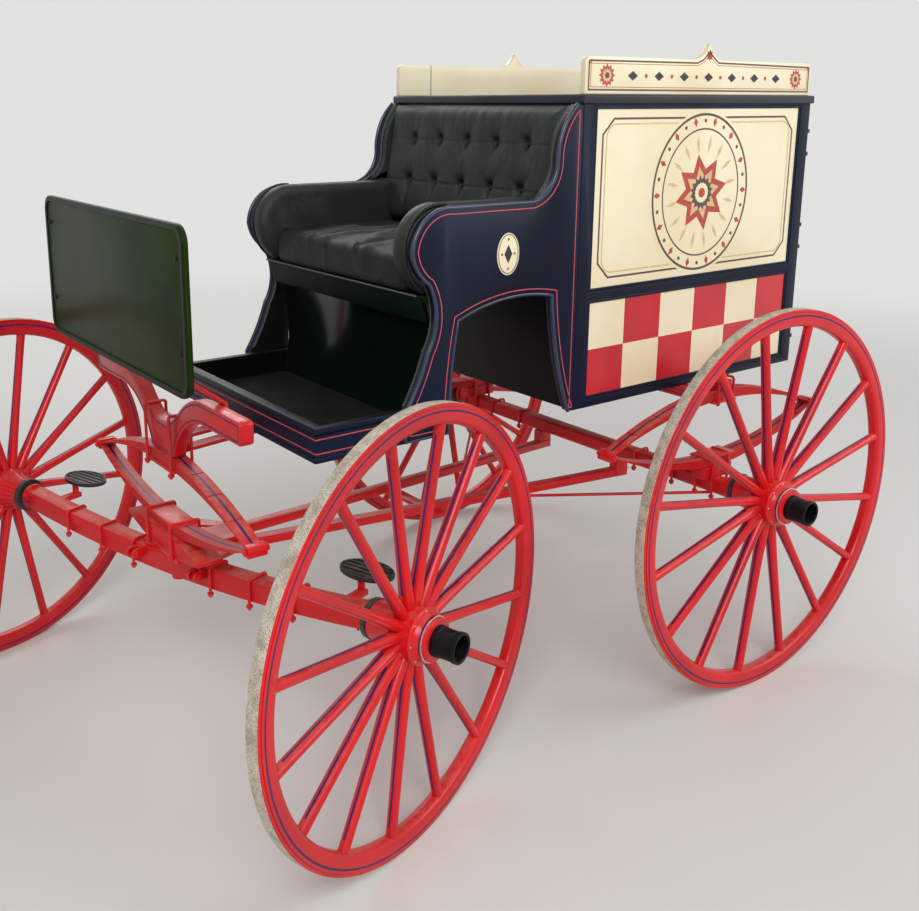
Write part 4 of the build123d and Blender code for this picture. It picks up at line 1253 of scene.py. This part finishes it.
def beads(places, radius):
    # a row of small round beads
    row = bmesh.new()
    for place in places:
        bmesh.ops.create_icosphere(row, subdivisions=2, radius=radius, matrix=Matrix.Translation(place))
    return row


def lineWing(name, side, settings):
    node, way = "side_panel_" + name, Vector((0, -side, 0))
    lining = flatFace(node, way)
    front, foot = settings["corner"]
    for outward in ((0, 0, -1), (1, 0, 0)):
        cut(lining, (front, 0, foot), outward, True)
    bmesh.ops.dissolve_limit(lining, angle_limit=radians(3), verts=lining.verts[:], edges=lining.edges[:])
    lining.faces.ensure_lookup_table()
    rim = inset(lining, lining.faces[:], settings["margin"])
    bmesh.ops.delete(lining, geom=rim, context="FACES")
    thicken(lining, way, settings["sink"], settings["depth"])
    easeTop(lining, way, settings["round"], 4)
    pad = onePiece("wing_lining_" + name, "root", [hide], "black_leather", lining, 0, smooth=50)

    radius, step = settings["bead"]
    outline = loopOf(flatFace(node, way))
    shift = Vector((-settings["beadBack"], 0, 0)) + way * settings["beadProud"]
    places = []
    for lowest, highest, back in settings["edges"]:
        edge = [point for point in outline if lowest < point.z < highest and point.x > back]
        places += [place + shift for place in evenly(sorted(edge, key=lambda point: point.z), step)]
    row = beads(places, radius)
    onePiece("pillar_edging_" + name, "root", [gimp], "black_leather", row, 0, smooth=80)


onBothSides(lineWing, wingSettings)
print("seat ends made")


# Footwell: a sill with two rose lines, black inside, and a black mat
footSettings = {
    "edge": 0.0045,
    "wall": 0.028,
    "lines": (0.023, 0.058),  # heights over the foot of the pan
    "lineSize": (0.0009, 0.0028),  # depth, height
    "lineInset": 0.006,
    "matThickness": 0.004,
    "matClear": (0.002, 0.012, 0.004),  # ahead and behind, both sides together, pushed back
}


def dressFootwell(settings):
    low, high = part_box("floor_pan")
    wall, edge, aside = settings["wall"], settings["edge"], settings["lineInset"]
    well = softened("floor_pan", edge)
    for face in well.faces:
        spot = face.calc_center_median()
        within = wall / 2 < min(high.y - abs(spot.y), high.x - spot.x)
        face.material_index = 1 if within and spot.z > low.z + edge else 0
    onePiece("floor_pan_painted", "root", [navy, black], "navy_paint", well, None, ["floor_pan"])
    line = Piece("sill_lines", "root", [roseLine], "navy_paint")
    depth, height = settings["lineSize"]
    for lift in settings["lines"]:
        level = low.z + lift
        for _, side in sides:
            place = ((low.x + high.x - aside) / 2, side * (high.y - aside), level)
            line.take(block((high.x - low.x - aside, depth, height), place, 0), 0)
        line.take(block((depth, high.y - low.y - 2 * aside, height), (high.x - aside, 0, level), 0), 0)
    line.done()
    base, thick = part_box("cargo_floor")[1].z, settings["matThickness"]
    ends, flanks, back = settings["matClear"]
    size = (high.x - low.x - wall - ends, high.y - low.y - 2 * wall - flanks, thick)
    mat = block(size, ((low.x + high.x - wall - back) / 2, 0, base + thick / 2), 0.001)
    onePiece("floor_mat", "root", [matting], "black_leather", mat, 0)


dressFootwell(footSettings)
for node, finish, slotName, easing in (
    ("bulkhead", black, "black_paint", 0.001), ("cargo_floor", black, "black_paint", 0.001),
    ("roof", roofCanvas, "navy_paint", 0.003), ("seat_board", darkGreen, "green_gloss", 0.001),
    ("seat_riser", riserGreen, "green_gloss", 0.001), ("door_hinges", blackIron, "black_iron", 0.0006),
):
    dress(node, "root", finish, slotName, easing)
dress("door_latch", "leaf_left", blackIron, "black_iron", 0.001)
treadDepth = 0.009
treads = softened("step_plates", 0.001)
for face in treads.faces:
    onTop = face.calc_center_median().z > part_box("step_plates")[1].z - treadDepth
    face.material_index = 0 if onTop else 1
onePiece("step_plates_painted", "front_gear", [blackIron, red], "black_iron", treads, None, ["step_plates"])


# Dash: green with a raised rim and bolt heads on both faces
dashSettings = {
    "easing": 0.0022,
    "rim": (0.0012, 0.013),  # margin, width
    "sink": 0.0005,
    "proud": 0.0026,
    "rounding": 0.001,
    "boltY": 0.405,
    "boltZ": (0.098, 0.300),
    "bolt": (0.0068, 0.004),
}


def dressDash(settings):
    low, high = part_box("dash")
    dress("dash", "root", green, "green_gloss", settings["easing"])
    trim = Piece("dash_rim", "root", [darkGreen, darkGreen], "green_gloss")
    for hand, level in ((1, high.x), (-1, low.x)):
        way = (hand, 0, 0)
        ring = ringOf(flatFace("dash", way), *settings["rim"], way, settings["sink"], settings["proud"])
        easeTop(ring, way, settings["rounding"])
        trim.take(ring, 0)
        for _, side in sides:
            for lift in settings["boltZ"]:
                spot = (level, side * settings["boltY"], low.z + lift)
                trim.take(boltHead(*settings["bolt"], 16), 1, aimed(spot, way))
    trim.done()


dressDash(dashSettings)
print("footwell and dash made")


# Doors: navy frames round cream panels, with a line and a rosette inside
doorSettings = {
    "easing": 0.0011,
    "stile": 0.060,
    "recess": 0.006,
    "gap": 0.005,  # from the leaf's edge to the box side
    "lap": 0.008,  # of the roof over the leaves
    "sink": 0.0005,
    "proud": (0.0007, 0.0012),  # panel, line
    "line": (0.026, 0.0038, 0.030),
    "rosette": ((0.052, 8, 0.6, 3, 0.0012), (0.032, 8, 0.6, 2, 0.0016), (0.012, 12, 1, 1, 0.002)),
}


def dressDoor(name, side, settings):
    node, body = "door_" + name, "leaf_" + name
    low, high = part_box(node)
    dress(node, body, navy, "navy_paint", settings["easing"])
    inner, outer = sorted((abs(low.y), abs(high.y)))
    outer = min(outer, abs(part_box("box_side_left")[0].y) - settings["gap"])
    across, tall = (outer - inner) / 2 - settings["stile"], (high.z - low.z) / 2 - settings["stile"]
    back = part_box("roof")[0].x + settings["lap"]
    lie = facing((back + settings["recess"], side * (outer + inner) / 2, (low.z + high.z) / 2), (-1, 0, 0))
    paint = Piece("door_panel_" + name, body, [cream, brownLine, tanLine, brickLine], "cream_paint")
    panelProud, lineProud = settings["proud"]
    paint.lay(board(-across, across, -tall, tall), 0, lie, panelProud, settings["sink"])
    margin, width, corner = settings["line"]
    paint.lineRound(board(-across, across, -tall, tall, margin, corner), width, 1, lie, lineProud)
    paint.rosette(settings["rosette"], lie)
    paint.done()


onBothSides(dressDoor, doorSettings)
print("doors made")


# Seat back: buttoned leather, drawn in at the buttons, with soft pleats that fade away from them; where it is drawn
# in deepest, a darker leather paints shade
backSettings = {
    "buttonsY": (-0.254, -0.127, 0.0, 0.127, 0.254),
    "buttonsZ": (1.404, 1.528),
    "swell": 0.021,
    "grid": (190, 92),
    "border": 0.003,
    "lean": 0.0405,  # from the panel's back to its front at the top
    "bed": 0.020,  # how far the even surface lies behind the front
    "button": (0.0065, 0.0045),
    "buttonTilt": 0.16,
    # depth, width, sharpness
    "dimples": ((0.60, 0.014, 1.5), (0.35, 0.040, 2)),
    "seam": (0.10, 0.0030, 2),
    "rim": (0.016, 1.2, 0.012),  # width, sharpness, how far it falls back
    "narrower": 1.2,  # rim along the top and the bottom
    "sway": (0.016, 0.3, 0.6),  # of a pleat: aside, in length, in depth
    "fade": (1.3, 1.6),  # of a pleat: along it, across it
    "within": (0.05, 0.10),  # how far a pleat and a dimple reach
    "wrinkle": 0.0020,
    "wrinkleGrain": (30, 11),  # per metre across and up
    "lowest": -0.15,
    "dark": 0.40,  # lift under which the leather is the darker copy, painted shade
    "thinnest": 0.004,
    "pleats": (
        # row of the button, run across and up, depth, width
        (0, (0.0, -0.135), 0.55, 0.0075), (0, (0.046, 0.052), 0.30, 0.0080), (0, (-0.046, 0.052), 0.30, 0.0080),
        (0, (0.020, 0.075), 0.16, 0.0060), (1, (0.0, -0.050), 0.26, 0.0070), (1, (0.040, 0.060), 0.26, 0.0085),
        (1, (-0.040, 0.060), 0.26, 0.0085), (1, (0.0, 0.100), 0.20, 0.0070),
    ),
}


def toSegment(point, start, run):
    # distance from a line, and how far along it
    share = max(0.0, min(1.0, (point - start).dot(run) / run.length_squared))
    return (point - start - run * share).length, share


def dip(gap, depth, width, sharpness):
    # a bell, deepest where the gap is nought
    return depth * exp(-((gap / width) ** sharpness))


def makeFolds(settings):
    # the pleats of every button: start, run, depth, width
    folds = []
    aside, longer, deeper = settings["sway"]
    for row, run, depth, width in settings["pleats"]:
        for column, y in enumerate(settings["buttonsY"]):
            sway = noise.noise(Vector((row * 3.7 + run[0] * 40, column * 1.9, depth * 11)))
            turned = Vector((run[0] + sway * aside, run[1] * (1 + sway * longer)))
            folds.append((Vector((y, settings["buttonsZ"][row])), turned, depth * (1 + sway * deeper), width))
    return folds


def liftAt(spot, spots, folds, settings):
    # 1 on even leather, less in pleats, seams and dimples
    lift = 1.0
    along, across = settings["fade"]
    pleatReach, dimpleReach = settings["within"]
    for start, run, depth, width in folds:
        gap, share = toSegment(spot, start, run)
        if gap < pleatReach:
            lift -= dip(gap, depth * (1 - share) ** along, width * (1 + share), across)
    for row in settings["buttonsZ"]:
        lift -= dip(abs(spot.y - row), *settings["seam"])
    for button in spots:
        gap = (spot - button).length
        if gap < dimpleReach:
            lift -= sum(dip(gap, *dimple) for dimple in settings["dimples"])
    return lift


def makeSeatBack(settings):
    low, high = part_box("seat_back")
    spots = [Vector((y, z)) for z in settings["buttonsZ"] for y in settings["buttonsY"]]
    folds = makeFolds(settings)
    front, height, border = high.x, high.z - low.z, settings["border"]
    slope = low.x + settings["lean"] - front
    rimWidth, sharpness, fall = settings["rim"]
    across, tall = settings["grid"]
    grainY, grainZ = settings["wrinkleGrain"]
    narrower = settings["narrower"]
    shape = bmesh.new()
    bmesh.ops.create_grid(shape, x_segments=across, y_segments=tall, size=0.5)
    lifts = {}
    for vert in shape.verts:
        y = (low.y + high.y) / 2 + vert.co.x * (high.y - low.y - 2 * border)
        z = low.z + border + (vert.co.y + 0.5) * (height - 2 * border)
        lift = lifts[vert.index] = liftAt(Vector((y, z)), spots, folds, settings)
        edge = min(y - low.y, high.y - y, (z - low.z) * narrower, (high.z - z) * narrower)
        rim = 1 - dip(max(edge, 0.0), 1, rimWidth, sharpness)
        wrinkle = noise.fractal(Vector((y * grainY, z * grainZ, 3.1)), 0.9, 2.1, 4) * settings["wrinkle"]
        base = front + slope * (z - low.z) / height - settings["bed"]
        x = base + settings["swell"] * max(lift, settings["lowest"]) * rim + wrinkle * rim - fall * (1 - rim)
        vert.co = (max(x, low.x + settings["thinnest"]), y, z)
    # faces deep in the dimples, seams and pleats take the darker leather: painted shade where the leather is drawn in
    for face in shape.faces:
        face.material_index = 2 if sum(lifts[vert.index] for vert in face.verts) / 4 < settings["dark"] else 0
    outline = [edge for edge in shape.edges if edge.is_boundary]
    sides = bmesh.ops.extrude_edge_only(shape, edges=outline)["geom"]
    for vert in (item for item in sides if isinstance(item, bmesh.types.BMVert)):
        vert.co.x = low.x
    rear = [item for item in sides if isinstance(item, bmesh.types.BMEdge) and item.is_boundary]
    bmesh.ops.contextual_create(shape, geom=rear)
    bmesh.ops.recalc_face_normals(shape, faces=shape.faces)
    back = Piece("seat_back_tufted", "root", [hide, hideButton, hidePaintedShade], "black_leather", ["seat_back"])
    tree = BVHTree.FromBMesh(shape)
    dents = [tree.ray_cast(Vector((high.x + 0.05, y, z)), Vector((-1, 0, 0)))[0] for y, z in spots]
    back.take(shape)
    for dent in dents:
        back.take(boltHead(*settings["button"], 18), 1, aimed(dent, (1, 0, settings["buttonTilt"])))
    back.done(60, weld=False)


makeSeatBack(backSettings)
print("seat back made")


# Stuffed pieces: a node's rounded block, subdivided, swollen and creased
stuffSettings = {
    "sharp": 40,  # degrees over which an edge is rounded
    "steps": 5,
    "passes": 6,
    "smoothing": 2,
    "sway": (5, 0.05),  # how fine, how far
    "ripple": (14, 0.25),  # how fine, share of the crease
    "crest": 2.2,
    "level": 0.8,
    "flank": 0.3,  # share of the crease on upright sides
    "foot": (0.035, 0.1),  # creases fade in over this height, from this share
}


def refine(shape, cell):
    # triangles no longer than a cell, and smoothed
    bmesh.ops.triangulate(shape, faces=shape.faces[:])
    for _ in range(stuffSettings["passes"]):
        coarse = [edge for edge in shape.edges if edge.calc_length() > cell]
        if not coarse:
            break
        bmesh.ops.subdivide_edges(shape, edges=coarse, cuts=1)
        bmesh.ops.triangulate(shape, faces=[face for face in shape.faces if len(face.verts) > 4])
    for _ in range(stuffSettings["smoothing"]):
        bmesh.ops.smooth_vert(shape, verts=shape.verts, factor=0.5, use_axis_x=True, use_axis_y=True, use_axis_z=True)
    shape.normal_update()


def stuffed(node, settings, seed):
    shape = softened(node, settings["rounding"], stuffSettings["sharp"], stuffSettings["steps"])
    refine(shape, settings["cell"])
    low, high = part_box(node)
    scale, (swayScale, swayReach) = settings["scale"], stuffSettings["sway"]
    fine, rippled = stuffSettings["ripple"]
    flank, (footHeight, footShare) = stuffSettings["flank"], stuffSettings["foot"]
    moves = []
    for vert in shape.verts:
        spot, rising = vert.co, vert.normal.z
        shares = [(spot[axis] - low[axis]) / (high[axis] - low[axis]) for axis in (0, 1)]
        crown = max(0.0, 16 * shares[0] * (1 - shares[0]) * shares[1] * (1 - shares[1]))
        sway = noise.noise(Vector((spot.x * swayScale + seed, spot.y * swayScale, seed))) * swayReach
        wave = noise.noise(Vector(((spot.x + sway) * scale[0], (spot.y + sway) * scale[1], spot.z * scale[2] + seed)))
        ripple = noise.fractal(Vector((spot.x * fine + seed, spot.y * fine, spot.z * fine)), 0.8, 2.0, 3)
        fold = (1 - min(1.0, abs(wave) * stuffSettings["crest"])) ** 2 - stuffSettings["level"]
        loose = flank + (1 - flank) * abs(rising)
        loose *= settings["crease"] * min(1.0, (spot.z - low.z) / footHeight + footShare)
        swell = settings["swell"] * crown * max(0.0, rising)
        moves.append(vert.normal * (swell + loose * (fold + ripple * rippled)))
    for vert, move in zip(shape.verts, moves):
        vert.co += move
    return shape


cushionSettings = {
    "rounding": 0.022,
    "cell": 0.008,
    "swell": 0.012,
    "crease": 0.010,
    "scale": (4, 15, 6),
    "bead": (0.0028, 0.0078),
    "beadProud": 0.0015,
    "apron": (0.066, 0.010, 0.020),  # height, thickness, slope back
    "apronInset": (0.004, 0.010, 0.001),  # back, in from the board's side, down
}


def makeCushion(settings):
    node = "seat_cushion"
    shape = stuffed(node, settings, 4.2)
    cushion = onePiece(node + "_stuffed", "root", [cushionHide], "black_leather", shape, 0, [node], 60, weld=False)

    height, thickness, slope = settings["apron"]
    back, aside, down = settings["apronInset"]
    front, top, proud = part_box(node)[1].x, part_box("seat_board")[1], settings["beadProud"]
    edge = Vector((front - back, top.y - aside, top.z - down))
    skirt = block((thickness, 2 * edge.y, height), (edge.x - thickness / 2, 0, edge.z - height / 2))
    for vert in skirt.verts:
        vert.co.x -= (edge.z - vert.co.z) / height * slope
    apron = Piece("seat_apron", "root", [apronGreen, gimp], "green_gloss")
    apron.take(skirt, 0)
    radius, step = settings["bead"]
    welt = [Vector((front - proud, hand * edge.y, edge.z + proud)) for hand in (-1, 1)]
    apron.take(beads(evenly(welt, step), radius), 1)
    apron.done()


makeCushion(cushionSettings)


# Arm pads: rolled over the seat ends, drawn up along their crests and piped round the outer face
padSettings = {
    "rounding": 0.024,
    "cell": 0.010,
    "swell": 0.002,
    "crease": 0.0022,
    "scale": (7, 7, 7),
    "piping": 0.005,
    "pipeClear": (0.15, 0.004),  # of the back end and of the foot
    "pipeInset": (0.02, 0.006),  # share towards the middle, and in from the outer face
    "below": 0.004,  # under the crest of the seat end
    "reach": 0.08,  # depth of the part that follows the crest
    "most": 0.075,
    "tail": (0.045, 0.05),  # how far the back end is pushed into the seat back, and over what length
}


def crestAt(outline, x):
    # height of the highest side of an outline at one X
    heights = [0.0]
    for start, end in zip(outline, outline[1:] + outline[:1]):
        if min(start.x, end.x) <= x <= max(start.x, end.x) and start.x != end.x:
            heights.append(start.lerp(end, (x - start.x) / (end.x - start.x)).z)
    return max(heights)


def makeArmPad(name, side, settings):
    node = "arm_pad_" + name
    low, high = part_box(node)
    shape = stuffed(node, settings, 7.7)
    crest = loopOf(flatFace("side_panel_" + name, (0, -side, 0)))
    tail, run = settings["tail"]
    for vert in shape.verts:
        rise = min(settings["most"], max(0.0, crestAt(crest, vert.co.x) - settings["below"] - high.z))
        vert.co.z += rise * max(0.0, 1 - (high.z - vert.co.z) / settings["reach"])
        vert.co.x -= tail * max(0.0, 1 - (vert.co.x - low.x) / run)
    pad = Piece("arm_pad_stuffed_" + name, "root", [hide, hideButton], "black_leather", [node])
    pad.take(shape, 0)
    ahead, above = settings["pipeClear"]
    share, inward = settings["pipeInset"]
    outline = loopOf(flatFace(node, (0, -side, 0)))
    outline = [point for point in outline if point.x > low.x + ahead and point.z > low.z + above]
    middle = Vector(((low.x + high.x) / 2, low.y if side > 0 else high.y, (low.z + high.z) / 2))
    out = Vector((0, side * (abs(high.y - low.y) - inward), 0))
    pad.take(tube([point + (middle - point) * share + out for point in outline], settings["piping"], 3), 1)
    pad.done(60, weld=False)


onBothSides(makeArmPad, padSettings)
print("upholstery made")


# Stage and light
stageSettings = {"radius": 30.0, "near": 2.2, "far": 8.0, "backdrop": rgb(226, 226, 224), "sky": 0.55}


def seenDirectly(finish):
    # 1 on rays from the camera or off gloss and glass
    camera, glossy, through = (
        finish.node("LightPath", output=name) for name in ("Is Camera Ray", "Is Glossy Ray", "Is Transmission Ray")
    )
    return camera.most(glossy).most(through)


def makeStage(settings):
    shape = bmesh.new()
    bmesh.ops.create_circle(
        shape, cap_ends=True, segments=96, radius=settings["radius"], matrix=Matrix.Translation((0, 0, -0.0004))
    )
    mesh = bpy.data.meshes.new("floor")
    shape.to_mesh(mesh)
    shape.free()
    floor = linked("floor", mesh)
    finish = Finish("pale_floor")
    finish.set(baseColor=rgb(222, 221, 218), roughness=0.9)
    away = finish.node("VectorMath", {"operation": "LENGTH"}, {0: finish.place()}, output=1)
    glow = finish.node("Emission", None, {"Color": settings["backdrop"], "Strength": 1.0})
    share = away.rise(settings["near"], settings["far"])
    surface = finish.node("MixShader", None, {0: share, 1: Signal(finish, finish.shader.outputs[0]), 2: glow})
    finish.feed(finish.tree.nodes["Material Output"].inputs["Surface"], surface)
    mesh.materials.append(finish.material)
    world = bpy.data.worlds.new("studio")
    bpy.context.scene.world = world
    sky = Finish("studio", world)
    background = sky.tree.nodes["Background"]
    background.inputs["Color"].default_value = settings["backdrop"]
    seen = seenDirectly(sky)
    sky.feed(background.inputs["Strength"], seen + (1 - seen) * settings["sky"])


lampSettings = {
    "size": 3.0,
    "target": (0, 0, 0.8),
    # place, watts
    "lamps": {"key": ((3.2, 4.6, 4.6), 215), "fill": ((-3.6, 3.8, 3.2), 85), "back": ((-1.5, -4.8, 4.2), 95)},
}


def makeLamps(settings):
    for name, (place, power) in settings["lamps"].items():
        lamp = bpy.data.lights.new(name, "AREA")
        lamp.energy, lamp.size = power, settings["size"]
        looking(name, lamp, place, Vector(settings["target"]) - Vector(place))


makeStage(stageSettings)
makeLamps(lampSettings)
bpy.context.scene.view_settings.view_transform = "Standard"
print("stage lit")
